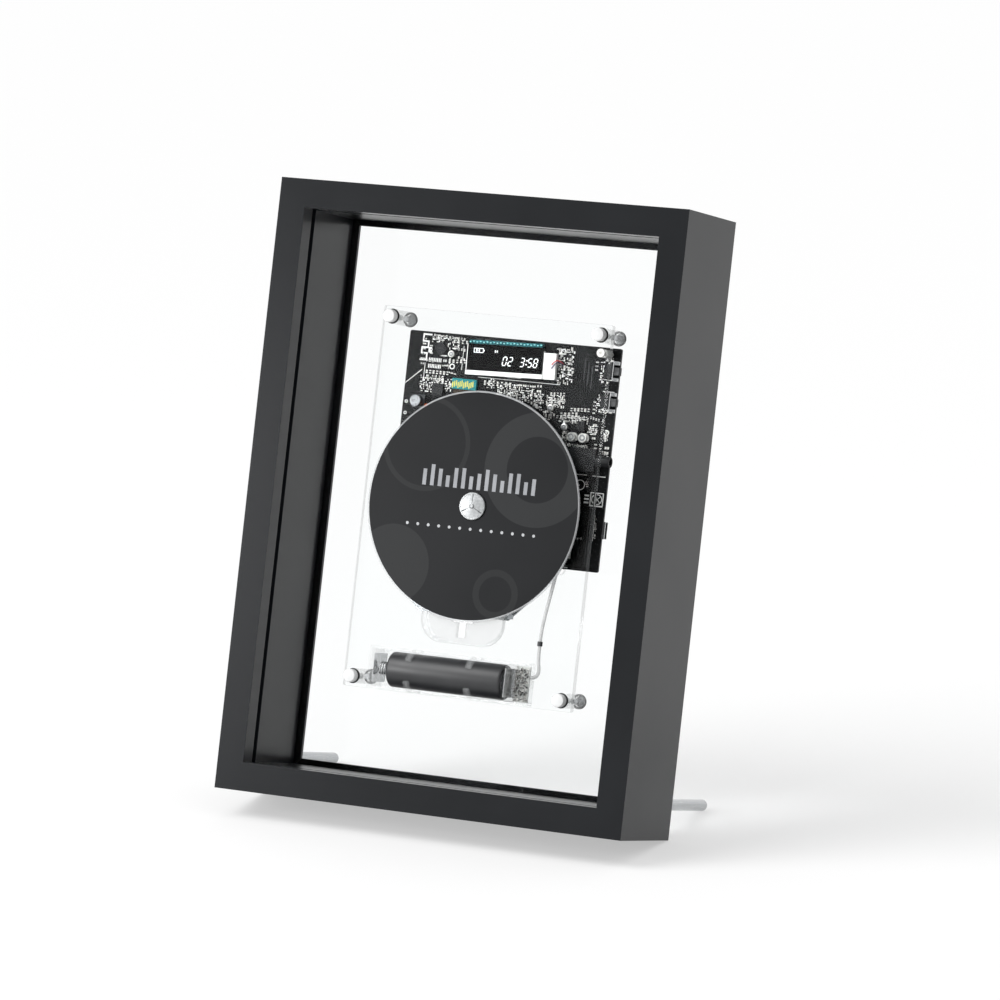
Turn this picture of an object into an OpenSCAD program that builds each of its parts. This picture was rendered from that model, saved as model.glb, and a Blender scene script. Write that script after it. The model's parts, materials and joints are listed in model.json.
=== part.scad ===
// CD player shown open in a deep picture frame that leans back on two steel rods.
// Every piece is drawn upright: x to the right, y from the front face to the back and z up from
// the frame's bottom edge. The leaning() module then tips the whole player back onto its rods,
// with the origin on the table, under the middle of the player.

/* [Frame] */
// Outer width of the frame
frame_w = 230; // [220:5:280]
// Outer height of the frame
frame_h = 320; // [300:5:380]
// Depth of the frame from the front face to the back
frame_d = 65; // [63:1:85]
// Width of a rail's front face
rail_w = 15; // [14:1:20]
// Distance from the front face to the dark groove round the inner walls
groove_y = 10; // [6:1:14]
// Width of the groove
groove_w = 4; // [2:0.5:6]
// Depth of the groove
groove_depth = 3; // [1:0.5:5]

/* [Back panel] */
// Thickness of the clear back panel
panel_t = 3; // [2:0.5:4]
// Thickness of the frame's rear lip behind the panel
lip_t = 2; // [1.5:0.5:3]
// How far the rear lip stands in from the inner walls
lip_w = 3; // [2:0.5:5]
// How far the panel reaches into its groove
panel_lap = 2; // [1:0.5:3]

/* [Stand] */
// Angle by which the frame leans back
lean = 13.5; // [10:0.5:17]
// Diameter of a stand rod
rod_d = 6; // [5:0.5:7]
// Length of a rod behind the frame
rod_reach = 61; // [55:1:75]
// Diameter of a rod's threaded end
stud_d = 4; // [3:0.5:4.5]
// Length of a rod's threaded end
stud_len = 9; // [6:1:12]
// Wall of the brass insert that takes the threaded end
insert_wall = 1.2; // [0.8:0.1:1.5]

/* [Wall hangers] */
// Distance of each keyhole from the frame's middle
hanger_x = 70; // [50:5:90]
// Diameter of the keyhole's entry
keyhole_d = 7; // [6:0.5:7.5]
// Width of the keyhole's slot
keyhole_slot = 3.5; // [3:0.25:4]
// Height from the keyhole's entry to the top of its slot
keyhole_rise = 4.5; // [4:0.25:5]
// Thickness of a hanger plate
hanger_t = 1.5; // [1:0.25:2]

/* [Standoffs] */
// Clear space between the mounting plate and the back panel
standoff_gap = 20; // [19:1:30]
// Diameter of the clear standoffs
standoff_d = 8; // [7:0.5:10]
// Distance of a standoff's centre from the plate's edges
standoff_inset = 5.5; // [5.5:0.5:12]
// Length of a standoff's front cap
cap_len = 5.2; // [4:0.2:8]
// Thickness of the black rubber rings
ring_t = 0.8; // [0.5:0.1:1.5]
// Diameter of the standoff screws
screw_d = 3; // [2:0.5:4]

/* [Mounting plate] */
// Width of the clear mounting plate
plate_w = 130; // [128:1:150]
// Height of the mounting plate
plate_h = 200; // [196:1:240]
// Thickness of the mounting plate
plate_t = 4; // [3:0.5:6]

/* [Disc] */
// Diameter of the disc
disc_d = 120; // [80:1:120]
// Thickness of the disc
disc_t = 1.2; // [1:0.1:1.5]
// Diameter of the disc's centre hole
disc_bore = 15; // [14.9:0.05:16]
// Clear space between the disc and the mounting plate
disc_gap = 3.8; // [3.8:0.1:6]

/* [Mechanism cover] */
// Width of the raised cover plate
cover_w = 47; // [45:1:60]
// Distance of the cover's lower edge below the disc's centre
cover_below = 71.8; // [70:0.2:73]
// Distance of the cover's upper edge above the disc's centre
cover_above = 30; // [26:1:40]
// Thickness of the cover plate
cover_t = 2.5; // [1.5:0.5:3]
// Radius of the cover's corners
cover_r = 12; // [6:1:14]
// How far the cover overlaps the window in the plate
cover_lap = 2; // [1:0.5:3]
// Width of the cover's narrow slot
slot_w = 4.7; // [3:0.1:7]

/* [Spindle] */
// Diameter of the turntable
turntable_d = 30; // [24:1:32]
// Thickness of the turntable
turntable_t = 2; // [1.5:0.1:2.5]
// Thickness of the rubber pad under the disc
pad_t = 0.6; // [0.4:0.1:1]
// Diameter of the hub that centres the disc
hub_d = 14.6; // [13.5:0.1:14.8]
// How far the hub's cone stands in front of the disc
hub_rise = 2.5; // [1.5:0.1:4]
// Diameter of the spindle motor
motor_d = 24.4; // [20:0.1:25]
// Height of the spindle motor
motor_h = 12.3; // [8:0.1:12.5]
// Diameter of the motor's shaft
shaft_d = 2; // [1.5:0.1:2.5]

/* [Pickup] */
// Lens position at rest, below the disc's centre
lens_rest = 25; // [24:0.5:30]
// Travel of the sled from rest to the disc's rim
sled_travel = 32.5; // [20:0.5:33]
// Travel of the sled from rest toward the hub
sled_back = 2; // [1:0.5:3]
// Diameter of the lens holder
lens_d = 4.8; // [4:0.1:5]
// Distance between the two guide rods
guide_pitch = 38; // [37:0.5:40]
// Diameter of a guide rod
guide_d = 2.5; // [2:0.1:3]
// Distance of the lead screw from the disc's centre line
lead_x = 26; // [26:0.5:28]
// Diameter of the lead screw
lead_d = 3; // [2:0.1:3.5]
// Diameter of the sled motor
sled_motor_d = 8; // [6:0.5:9]
// Length of the sled motor
sled_motor_len = 10; // [8:1:12]

/* [Chassis] */
// Clear space between the mounting plate and the chassis
chassis_gap = 10; // [10:0.5:12]
// Thickness of the steel chassis
chassis_t = 1.5; // [1:0.1:2]
// Diameter of the posts that carry the chassis
post_d = 5; // [4:0.2:6]
// Thickness of a rubber grommet's flange
grommet_t = 2; // [1:0.2:2.5]

/* [Main board] */
// Width of the circuit board
board_w = 120; // [118:1:130]
// Height of the circuit board
board_h = 116; // [114:1:124]
// Thickness of the circuit board
board_t = 1.6; // [1:0.2:2]
// Distance of the board's middle to the right of the disc's centre
board_x = 7; // [6:0.5:9]
// Distance of the board's middle above the disc's centre
board_z = 30.8; // [28:0.2:34]
// Clear space between the mounting plate and the board
board_gap = 7; // [7:0.5:9]
// Width of the hexagonal board spacers across the corners
spacer_d = 4.6; // [4:0.2:6]

/* [Display] */
// Width of the display glass
display_w = 42.7; // [38:0.1:48]
// Height of the display glass
display_h = 13.9; // [12:0.1:15]
// Thickness of the display glass
display_t = 1.2; // [0.8:0.1:1.6]
// Thickness of the light guide behind the glass
guide_t = 2; // [1:0.1:2.5]

/* [Switches and sockets] */
// Height of a push switch's body along the board's edge
switch_h = 6.8; // [5:0.2:8]
// Depth of a switch body in from its bracket
switch_w = 4.2; // [3:0.2:6]
// Thickness of a switch body in front of the board
switch_t = 3.8; // [3.4:0.1:4.5]
// Height of a plunger
plunger_h = 4.2; // [3:0.1:5]
// How far a plunger stands out of its bracket
plunger_reach = 3.4; // [2:0.1:6]
// Travel of a plunger
press = 0.4; // [0.2:0.05:0.6]
// Width of the audio jack along the board's edge
jack_h = 12; // [10:0.5:13]
// Depth of the audio jack in from the board's edge
jack_w = 14.5; // [13:0.5:16]
// Thickness of the audio jack
jack_t = 5.5; // [5.2:0.1:6.5]
// Bore of the audio jack
jack_bore = 3.6; // [3.5:0.05:4]

/* [Battery] */
// Diameter of the battery cell
cell_d = 18.4; // [17:0.1:18.8]
// Length of the battery cell
cell_len = 65; // [60:0.5:66]
// Distance of the cell's axis in front of the mounting plate
cell_lift = 11; // [10.9:0.1:14]
// Distance of the cell's axis above the plate's lower edge
cell_up = 11.6; // [11.5:0.1:14]
// Thickness of the holder's clear walls
holder_wall = 1.5; // [1:0.1:2]
// Diameter of the battery lead
cord_d = 1.8; // [1.4:0.1:2]

/* [Hidden] */
$fn = 64;

// Clearances
fit = 0.05;
free = 0.3;
panel_play = 0.25;
rod_chamfer = 0.4;

// Depths, each measured from the frame's front face
panel_y = frame_d - lip_t - panel_t;
plate_back = panel_y - standoff_gap;
plate_y = plate_back - plate_t;
disc_back = plate_y - disc_gap;
disc_y = disc_back - disc_t;
cover_y = plate_y - cover_t;
chassis_y = plate_back + chassis_gap;
chassis_back = chassis_y + chassis_t;
guide_y = plate_back + chassis_gap / 2;
board_y = plate_back + board_gap;
board_back = board_y + board_t;
cell_y = plate_y - cell_lift;

// Heights and places
middle = frame_h / 2;
inner_x = frame_w / 2 - rail_w;
lip_reach = rail_w + lip_w;
panel_w = frame_w - 2 * (rail_w - panel_lap);
panel_h = frame_h - 2 * (rail_w - panel_lap);
rod_x = frame_w / 2 - rail_w / 2;
rod_z = rod_d / 2 + (rod_reach - rod_chamfer) * tan(lean);
insert_r = stud_d / 2 + fit + insert_wall;
insert_len = stud_len + 2;
standoff_x = plate_w / 2 - standoff_inset;
standoff_z = plate_h / 2 - standoff_inset;
standoff_places = [for (sx = [-1, 1], sz = [-1, 1]) [sx * standoff_x, middle + sz * standoff_z]];
cap_grip = 2;
barrel_grip = 6;
plate_edge_r = 1;

// Wall hangers
hanger_w = 30;
hanger_h = 12.6;
hanger_z = frame_h - rail_w / 2 - 0.3;
keyhole_z = frame_h - rail_w + panel_lap + panel_play + keyhole_d / 2 + panel_play;
hanger_screw_x = 11;
hanger_screw_d = 2.5;
hanger_head_d = 4.6;
hanger_screw_len = 9;
head_room = 5;

// Mechanism cover, its window and its slots
window_w = cover_w - 2 * cover_lap;
window_below = cover_below - cover_lap;
window_above = cover_above - cover_lap;
slot_below = cover_below - 3.3;
table_hole_d = turntable_d + 4;
lens_slot_w = 12;
lens_reach = lens_rest + sled_travel;

// Spindle
pad_back = disc_back + pad_t;
table_back = pad_back + turntable_t;
table_boss_d = 8;
table_boss_back = chassis_y - motor_h - 0.6;
cone_d = 9;
cone_hole_d = 3;

// Sled, measured along the guide rods from the lens
sled_t = 5;
tongue_w = 22;
tongue_low = 8;
sled_bar_low = 5;
sled_bar_top = 9;
sled_arm_top = 19;
sled_arm_in = motor_d / 2 + 1.6;
sled_arm_out = guide_pitch / 2 + 3.5;
tower_d = 9;
tower_front = plate_y + 1;
lens_front = disc_back + 1.4;
nut_low = 8;
nut_top = 14;
nut_side = 2.6;

// Chassis, measured from the disc's centre
chassis_left = 37;
chassis_right = 31;
chassis_top = 22;
chassis_low = 57;
chassis_cut = 12;
chassis_cut_left = 5;
rod_foot = middle - lens_reach + 1.5;
rod_foot_t = 2.5;
rod_head = middle - lens_rest + sled_back + sled_arm_top + 6;
rod_head_t = 3;
screw_head_z = middle - lens_rest + sled_back + nut_top + 6;
screw_head_t = 2;
screw_play = 0.3;
screw_grip = 3;
motor_seat_z = screw_head_z + screw_head_t;
post_places = [[-33, 16], [-33, -40], [27, 16], [27, -40]];
post_end = chassis_y - grommet_t;
grommet_d = 8;
grommet_hole_d = 5.2;
grommet_bore_d = 2.8;
chassis_screw_d = 2.5;
chassis_head_d = 5;

// Main board, measured from the disc's centre
board_left = board_x - board_w / 2;
board_right = board_x + board_w / 2;
board_low = board_z - board_h / 2;
board_top = board_z + board_h / 2;
board_clear = 3;
spacer_screw_d = 2.2;
nylon_head_d = 4.4;
nylon_head_t = 1.4;
steel_head_t = 1.6;
// Each spacer's place from the board's middle
spacer_places = [[53.5, 54.5], [-53, -4.8], [-53, -50.8], [36, -50.8]];

// Display, measured from the board's middle
display_x = -3.2;
display_up = 47.2;
display_tilt = 1.5;
display_back = board_y - guide_t;
strip_h = 2.3;
block_w = 7;
block_drop = 2.5;
pin_count = 22;
pin_w = 0.6;
pin_h = 1.6;

// Parts on the board: [x, z] from the board's middle
wireless_place = [-41, 49.5];
decoder_place = [-40.3, 28];
power_place = [42.7, 16.4];
inductor_places = [[39, 10.3], [45.4, 10.3]];
inductor_d = 4.9;
inductor_h = 4;
can_place = [-50.6, 21.2];
can_d = 6.5;
can_h = 5.5;
led_place = [-46.4, 19.4];
ribbon_place = [-25.2, 32.1];
ribbon_w = 14;
ribbon_h = 5.6;
ribbon_t = 2;
film_w = 12;
film_t = 0.3;
battery_plug_place = [42, -52.3];
// Rows of small parts: [x, z, count, step in x, step in z, length, width, height]
part_rows = [
  [-51, 54, 6, 0, -2.6, 1.6, 0.8, 0.6], [-34, 54, 5, 2.4, 0, 0.8, 1.6, 0.6],
  [-35.4, 43.5, 5, 2.2, 0.1, 1.0, 1.6, 0.8], [-47, 40.4, 6, 2.0, 0.1, 1.2, 0.7, 0.5],
  [-48, 37, 7, 2.0, 0, 1.0, 1.7, 0.6], [-47.5, 33.6, 4, 2.3, 0, 1.4, 0.8, 0.6],
  [-33, 24, 3, 2.2, -0.6, 1.0, 1.6, 0.6], [-14, 34, 7, 2.4, 0, 0.9, 2.4, 0.7],
  [-6, 29.4, 8, 1.8, -0.3, 0.9, 1.6, 0.6], [6, 34.4, 4, 2.6, 0, 1.8, 0.9, 0.6],
  [11, 31.2, 3, 2.0, -0.4, 0.8, 1.4, 0.6], [17, 34.8, 3, 0, -2.6, 2.2, 1.1, 0.7],
  [22.6, 26, 4, 2.2, 0.4, 1.0, 1.7, 0.8], [31, 21.4, 5, 2.1, 0.2, 1.1, 1.8, 0.7],
  [36.4, 24.4, 6, 1.9, 0.1, 1.0, 1.6, 0.7], [33.6, 12, 3, 0.5, -2.4, 1.6, 0.9, 0.6],
  [37.4, 6, 5, 2.3, 0, 1.4, 1.0, 0.6], [50.4, 17.6, 4, 0, -2.3, 1.8, 1.0, 0.7],
  [55.6, 14.6, 3, 0, -2.2, 2.4, 1.3, 0.9], [57.8, 6.4, 2, 0, -2.6, 2.2, 1.2, 0.8],
  [37, -13.6, 3, 0, -2.4, 2.2, 1.2, 0.7], [27.6, 52, 4, 1.8, 1.2, 1.0, 1.6, 0.7],
  [27.4, 46.5, 4, 2.4, -0.6, 1.0, 1.7, 0.7], [28, 41, 4, 2.2, 1.0, 0.9, 1.5, 0.6]];

// Switches and sockets on the board's right edge, as heights from the board's middle
power_switch_z = 46.1;
pair_switch_z = 29.9;
switch_heights = [power_switch_z, pair_switch_z];
switch_front = -switch_t;
cavity_play = 0.15;
edge = board_w / 2;
bracket_t = 0.4;
bracket_over = 1.7;
bracket_ear = 2.3;
bracket_inset = 2.4;
plunger_t = 3;
plunger_root = 1.2;
jack_z = -0.9;
jack_set_back = 5.5;
jack_nose_d = 6;
jack_nose = 6;
jack_hole_depth = 14;
socket_z = -36;
socket_w = 7.4;
socket_h = 9;
socket_t = 3.2;
socket_over = 0.8;
socket_wall = 0.35;

// Battery holder
cell_z = middle - plate_h / 2 + cell_up;
cell_r = cell_d / 2;
cell_end = cell_len / 2;
clip_r = cell_r + 0.15;
clip_angle = 57;
clip_root = 8;
clip_w = 3;
clip_slot = 1;
clip_shoulder = 0.3;
clip_depth = 5;
clip_places = [-20.5, 13.8];
holder_side = cell_r + 0.6;
spring_room = 14;
board_room = 10.5;
holder_left = cell_end + spring_room;
holder_right = cell_end + board_room;
nub_d = 6;
nub_len = 0.9;
spring_wire = 0.8;
spring_turns = 4;
spring_r = 3.4;
spring_end = cell_end + free;
spring_plate_x = cell_end + 8;
contact_t = 0.4;
right_contact_x = cell_end + nub_len + 0.2;
tiny_board_x = right_contact_x + contact_t + 1.4;
tiny_board_end = holder_right - 0.4;
tiny_board_back = plate_y - 4.2;
tiny_board_t = 1.2;

// Battery lead: its route's points, chosen by hand. The first run is measured from the holder board's
// end, the second from the plate's front under the plug, the last from the board's front under the plug
battery_plug_x = board_x + battery_plug_place[0];
battery_plug_z = middle + board_z + battery_plug_place[1];
lead_low = [[0, -4.8, 3.9], [1.2, -4.8, 3.9], [2.4, -3.8, 4.4], [3.1, -2.4, 6], [3, -1.6, 8.4],
  [2.3, -1.4, 12.4], [2, -1.4, 16.4], [2, -1.4, 20.4], [2, -1.4, 24.4], [2.3, -1.4, 29.4],
  [2.9, -1.4, 34.4]];
lead_top = [[-2.6, -1.4, -26.5], [-1.6, -1.4, -20.5], [-0.6, -1.4, -14.5], [0, -1.3, -10.5],
  [0.3, -0.6, -7.9], [0.5, 1, -6.3], [0.5, 3, -5.1], [0.4, 5.4, -4.3]];
lead_end = [[0.2, -3.6, -3.5], [0, -2.7, -2.3], [0, -2.6, -1.1], [0, -2.6, 0]];
lead_route = [for (p = lead_low) [tiny_board_end, plate_y, cell_z] + p,
  for (p = lead_top) [battery_plug_x, plate_y, battery_plug_z] + p,
  for (p = lead_end) [battery_plug_x, board_y, battery_plug_z] + p];
lead_sides = 8;
lead_hole_place = [battery_plug_x + 0.5, battery_plug_z - 5.8];
lead_hole_d = 6.4;
tie_x = tiny_board_end + lead_low[7][0];
tie_y = plate_y + lead_low[7][1];
tie_low = cell_z + lead_low[7][2];
tie_len = 2.4;

function unit(v) = v / norm(v);
function lead_last() = len(lead_route) - 1;
function lead_way(i) =
  i == 0 ? unit(lead_route[1] - lead_route[0]) :
  i == lead_last() ? unit(lead_route[i] - lead_route[i - 1]) :
  unit(unit(lead_route[i + 1] - lead_route[i]) + unit(lead_route[i] - lead_route[i - 1]));
function ring_points(centre, way, r, sides) =
  let (side = unit(cross(way, abs(way[1]) < 0.9 ? [0, 1, 0] : [1, 0, 0])), up = cross(side, way))
  [for (k = [0 : sides - 1])
    let (a = 360 * (k + 0.5) / sides)
    centre + r * cos(a) * side + r * sin(a) * up];
function tube_faces(rings, sides) = concat(
  [[for (k = [0 : sides - 1]) k]],
  [for (i = [0 : rings - 2], k = [0 : sides - 1])
    [i * sides + k, (i + 1) * sides + k, (i + 1) * sides + (k + 1) % sides, i * sides + (k + 1) % sides]],
  [[for (k = [sides - 1 : -1 : 0]) (rings - 1) * sides + k]]);

// Battery spring: a helix along x, with its rings spaced evenly round each turn
spring_steps = 12;
spring_rings = spring_turns * spring_steps;
spring_sides = 6;
spring_run = spring_plate_x - spring_end - 2 * spring_wire;
function spring_point(i) =
  let (a = 360 * i / spring_steps, t = i / spring_rings)
  [-spring_end - spring_wire - spring_run * t, cell_y + spring_r * cos(a), cell_z + spring_r * sin(a)];
function spring_way(i) = unit(spring_point(i + 0.5) - spring_point(i - 0.5));
spring_gap = min([for (i = [0 : spring_rings - spring_steps])
  norm(spring_point(i + spring_steps) - spring_point(i))]) - spring_wire;
echo(spring_gap = spring_gap);

// Tips the upright player back onto its rods
lean_back_y = frame_h * sin(lean);
lean_front_y = frame_d * cos(lean);
module leaning() {
  translate([0, (lean_front_y - lean_back_y) / 2, 0])
    rotate([-lean, 0, 0])
      translate([0, -frame_d, 0])
        children();
}

// Extrudes an [x, z] outline from depth y0 to depth y1
module slab(y0, y1) {
  translate([0, y1, 0])
    rotate([90, 0, 0])
      linear_extrude(y1 - y0)
        children();
}

// A round bar or hole along y
module bar(place, y0, y1, d) {
  translate([place[0], y1, place[1]])
    rotate([90, 0, 0])
      cylinder(h = y1 - y0, d = d);
}

// A round bar or hole along z
module upright(x, y, z0, z1, d) {
  translate([x, y, z0])
    cylinder(h = z1 - z0, d = d);
}

// A round bar or hole along x
module cross_bar(x0, x1, y, z, d) {
  translate([x0, y, z])
    rotate([0, 90, 0])
      cylinder(h = x1 - x0, d = d);
}

module block(x0, x1, y0, y1, z0, z1) {
  translate([x0, y0, z0])
    cube([x1 - x0, y1 - y0, z1 - z0]);
}

// Moves a solid drawn at [0, 0] to its place on the board's front
module on_board(place) {
  translate([board_x + place[0], board_y, middle + board_z + place[1]])
    children();
}

// A square-cornered outline with corner radius r, from [x0, z0] to [x1, z1]
module round_box(x0, x1, z0, z1, r) {
  union() {
    translate([x0 + r, z0])
      square([x1 - x0 - 2 * r, z1 - z0]);
    translate([x0, z0 + r])
      square([x1 - x0, z1 - z0 - 2 * r]);
    for (x = [x0 + r, x1 - r], z = [z0 + r, z1 - r])
      translate([x, z])
        circle(r);
  }
}

// A rail's section: first number in from the frame's outer edge, second number back from the front
module rail_section() {
  difference() {
    square([lip_reach, frame_d]);
    translate([rail_w, -1])
      square([lip_w + 1, panel_y + panel_t + 1]);
    translate([rail_w - groove_depth, groove_y])
      square([groove_depth + 1, groove_w]);
    translate([rail_w - panel_lap - panel_play, panel_y - fit])
      square([lip_w + panel_lap + panel_play + 1, panel_t + fit]);
  }
}

// The bottom rail with mitred ends, centred on x, for a frame side of the given length
module mitred_rail(length) {
  intersection() {
    translate([-length / 2, 0, 0])
      rotate([90, 0, 90])
        linear_extrude(length)
          mirror([1, -1, 0])
            rail_section();
    slab(-1, frame_d + 1)
      polygon([[-length / 2, 0], [length / 2, 0], [length / 2 - lip_reach, lip_reach],
        [-length / 2 + lip_reach, lip_reach]]);
  }
}

// The keyhole's entry and slot, as an outline
module keyhole(entry_d, slot) {
  translate([0, keyhole_z])
    circle(d = entry_d);
  translate([-slot / 2, keyhole_z])
    square([slot, keyhole_rise]);
  translate([0, keyhole_z + keyhole_rise])
    circle(d = slot);
}

module hanger_outline() {
  round_box(-hanger_w / 2, hanger_w / 2, hanger_z - hanger_h / 2, hanger_z + hanger_h / 2, 2);
}

module top_rail() {
  color("#2c2d2e") leaning()
    difference() {
      translate([0, 0, frame_h])
        mirror([0, 0, 1])
          mitred_rail(frame_w);
      for (side = [-1, 1])
        translate([side * hanger_x, 0, 0]) {
          slab(frame_d - hanger_t, frame_d + 1)
            hanger_outline();
          slab(frame_d - hanger_t - head_room, frame_d)
            keyhole(keyhole_d, keyhole_d - 1);
          for (x = [-hanger_screw_x, hanger_screw_x])
            bar([x, hanger_z], frame_d - hanger_screw_len, frame_d, hanger_screw_d);
        }
    }
}

module bottom_rail() {
  color("#2c2d2e") leaning() mitred_rail(frame_w);
}

// A side rail, with the bore that takes the stand rod's brass insert
module side_rail(side) {
  difference() {
    translate([side * frame_w / 2, 0, middle])
      rotate([0, -side * 90, 0])
        mitred_rail(frame_h);
    bar([side * rod_x, rod_z], frame_d - insert_len, frame_d + 1, 2 * insert_r);
  }
}

module left_rail() {
  color("#2c2d2e") leaning() side_rail(-1);
}

module right_rail() {
  color("#2c2d2e") leaning() side_rail(1);
}

module back_panel() {
  color("#e8f0f0", 0.3) leaning()
    difference() {
      slab(panel_y, panel_y + panel_t)
        translate([-panel_w / 2, middle - panel_h / 2])
          square([panel_w, panel_h]);
      for (place = standoff_places)
        bar(place, panel_y - 1, panel_y + panel_t + 1, screw_d + 0.4);
    }
}

module hanger_plates() {
  color("#b8babc") leaning()
    for (side = [-1, 1])
      translate([side * hanger_x, 0, 0])
        difference() {
          slab(frame_d - hanger_t, frame_d)
            difference() {
              hanger_outline();
              keyhole(keyhole_d, keyhole_slot);
            }
          for (x = [-hanger_screw_x, hanger_screw_x])
            bar([x, hanger_z], frame_d - hanger_t - 1, frame_d + 1, hanger_screw_d + 0.4);
        }
}

module hanger_screws() {
  color("#9a9c9e") leaning()
    for (side = [-1, 1], x = [-hanger_screw_x, hanger_screw_x]) {
      bar([side * hanger_x + x, hanger_z], frame_d - hanger_screw_len + 0.5, frame_d,
        hanger_screw_d - 2 * fit);
      translate([side * hanger_x + x, frame_d, hanger_z])
        rotate([-90, 0, 0])
          cylinder(h = 1.2, d1 = hanger_head_d, d2 = hanger_head_d - 1.4);
    }
}

module rod_inserts() {
  color("#c8a24a") leaning()
    for (side = [-1, 1])
      difference() {
        bar([side * rod_x, rod_z], frame_d - insert_len + 0.5, frame_d, 2 * (insert_r - fit / 2));
        bar([side * rod_x, rod_z], frame_d - insert_len - 1, frame_d + 1, stud_d + 2 * fit);
      }
}

// A stand rod: plain steel with a chamfered tip and a threaded stud into the side rail
module stand_rod(side) {
  translate([side * rod_x, frame_d, rod_z])
    rotate([-90, 0, 0]) {
      cylinder(h = rod_reach - rod_chamfer, d = rod_d);
      translate([0, 0, rod_reach - rod_chamfer])
        cylinder(h = rod_chamfer, d1 = rod_d, d2 = rod_d - 2 * rod_chamfer);
      translate([0, 0, -stud_len])
        cylinder(h = stud_len, d = stud_d);
    }
}

module left_stand_rod() {
  color("#b9bcbe") leaning() stand_rod(-1);
}

module right_stand_rod() {
  color("#b9bcbe") leaning() stand_rod(1);
}

module cover_outline(half_w, below, above, r) {
  round_box(-half_w, half_w, middle - below, middle + above, r);
}

module mounting_plate() {
  color("#dfe6e8", 0.35) leaning()
    difference() {
      slab(plate_y, plate_back)
        difference() {
          round_box(-plate_w / 2, plate_w / 2, middle - plate_h / 2, middle + plate_h / 2, plate_edge_r);
          cover_outline(window_w / 2, window_below, window_above, cover_r - cover_lap);
        }
      for (place = standoff_places)
        bar(place, plate_y - 1, plate_back + 1, screw_d + 0.4);
      for (place = spacer_places)
        bar([board_x + place[0], middle + board_z + place[1]], plate_y - 1, plate_back + 1,
          spacer_screw_d + 0.4);
      for (place = post_places)
        bar([place[0], middle + place[1]], plate_y - 1, plate_back + 1, chassis_screw_d + 0.4);
      bar(lead_hole_place, plate_y - 1, plate_back + 1, lead_hole_d);
    }
}

module standoff_caps() {
  color("#e6ecee", 0.6) leaning()
    for (place = standoff_places) {
      bar(place, plate_y - ring_t - cap_len, plate_y - ring_t, standoff_d);
      bar(place, plate_y - ring_t, plate_back + barrel_grip, screw_d);
    }
}

// A flat rubber ring round a standoff screw
module ring(place, y0, y1) {
  difference() {
    bar(place, y0, y1, standoff_d);
    bar(place, y0 - 1, y1 + 1, screw_d + 2 * fit);
  }
}

module front_rings() {
  color("#161616") leaning()
    for (place = standoff_places)
      ring(place, plate_y - ring_t, plate_y);
}

module standoff_barrels() {
  color("#e6ecee", 0.6) leaning()
    for (place = standoff_places)
      difference() {
        bar(place, plate_back, panel_y - ring_t, standoff_d);
        bar(place, plate_back - 1, plate_back + barrel_grip + 1, screw_d + 2 * fit);
        bar(place, panel_y - barrel_grip - 1, panel_y, screw_d + 2 * fit);
      }
}

module rear_rings() {
  color("#161616") leaning()
    for (place = standoff_places)
      ring(place, panel_y - ring_t, panel_y);
}

module panel_screws() {
  color("#b9bcbe") leaning()
    for (place = standoff_places) {
      bar(place, panel_y - barrel_grip, panel_y + panel_t, screw_d);
      bar(place, panel_y + panel_t, panel_y + panel_t + steel_head_t, 2 * screw_d);
    }
}

module mechanism_cover() {
  color("#d9dcde", 0.5) leaning()
    slab(cover_y, plate_y)
      difference() {
        cover_outline(cover_w / 2, cover_below, cover_above, cover_r);
        translate([0, middle])
          circle(d = table_hole_d);
        translate([-slot_w / 2, middle - slot_below])
          square([slot_w, slot_below]);
        translate([-lens_slot_w / 2, middle - lens_reach - lens_d / 2 - 0.6])
          square([lens_slot_w, lens_reach]);
      }
}

module board_outline() {
  difference() {
    round_box(board_left, board_right, middle + board_low, middle + board_top, 1);
    translate([-chassis_left - board_clear, middle + board_low - 1])
      square([chassis_left + chassis_right + 2 * board_clear, chassis_top + board_clear - board_low + 1]);
  }
}

module main_board() {
  color("#1c1d1e") leaning()
    difference() {
      slab(board_y, board_back)
        board_outline();
      for (place = spacer_places)
        bar([board_x + place[0], middle + board_z + place[1]], board_y - 1, board_back + 1,
          spacer_screw_d + 0.4);
    }
}

module board_spacers() {
  color("#e9e9e4") leaning()
    for (place = spacer_places)
      on_board(place)
        difference() {
          rotate([90, 0, 0])
            cylinder(h = board_gap, d = spacer_d, $fn = 6);
          translate([0, 1, 0])
            rotate([90, 0, 0])
              cylinder(h = board_gap + 2, d = spacer_screw_d + 2 * fit);
        }
}

module plate_screws() {
  color("#f0f0ec") leaning()
    for (place = spacer_places) {
      bar([board_x + place[0], middle + board_z + place[1]], plate_y, plate_back + 3, spacer_screw_d);
      difference() {
        bar([board_x + place[0], middle + board_z + place[1]], plate_y - nylon_head_t, plate_y, nylon_head_d);
        bar([board_x + place[0], middle + board_z + place[1]], plate_y - nylon_head_t - 1,
          plate_y - nylon_head_t + 0.8, 1.4);
      }
    }
}

module board_screws() {
  color("#b9bcbe") leaning()
    for (place = spacer_places) {
      bar([board_x + place[0], middle + board_z + place[1]], board_y - 3, board_back, spacer_screw_d);
      bar([board_x + place[0], middle + board_z + place[1]], board_back, board_back + steel_head_t,
        nylon_head_d);
    }
}

// Everything of the display shares one slight tilt about its own middle
module on_display() {
  translate([board_x + display_x, 0, middle + board_z + display_up])
    rotate([0, -display_tilt, 0])
      children();
}

module display_glass() {
  color("#101112") leaning() on_display()
    block(-display_w / 2, display_w / 2, display_back - display_t, display_back,
      -display_h / 2, display_h / 2);
}

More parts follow.
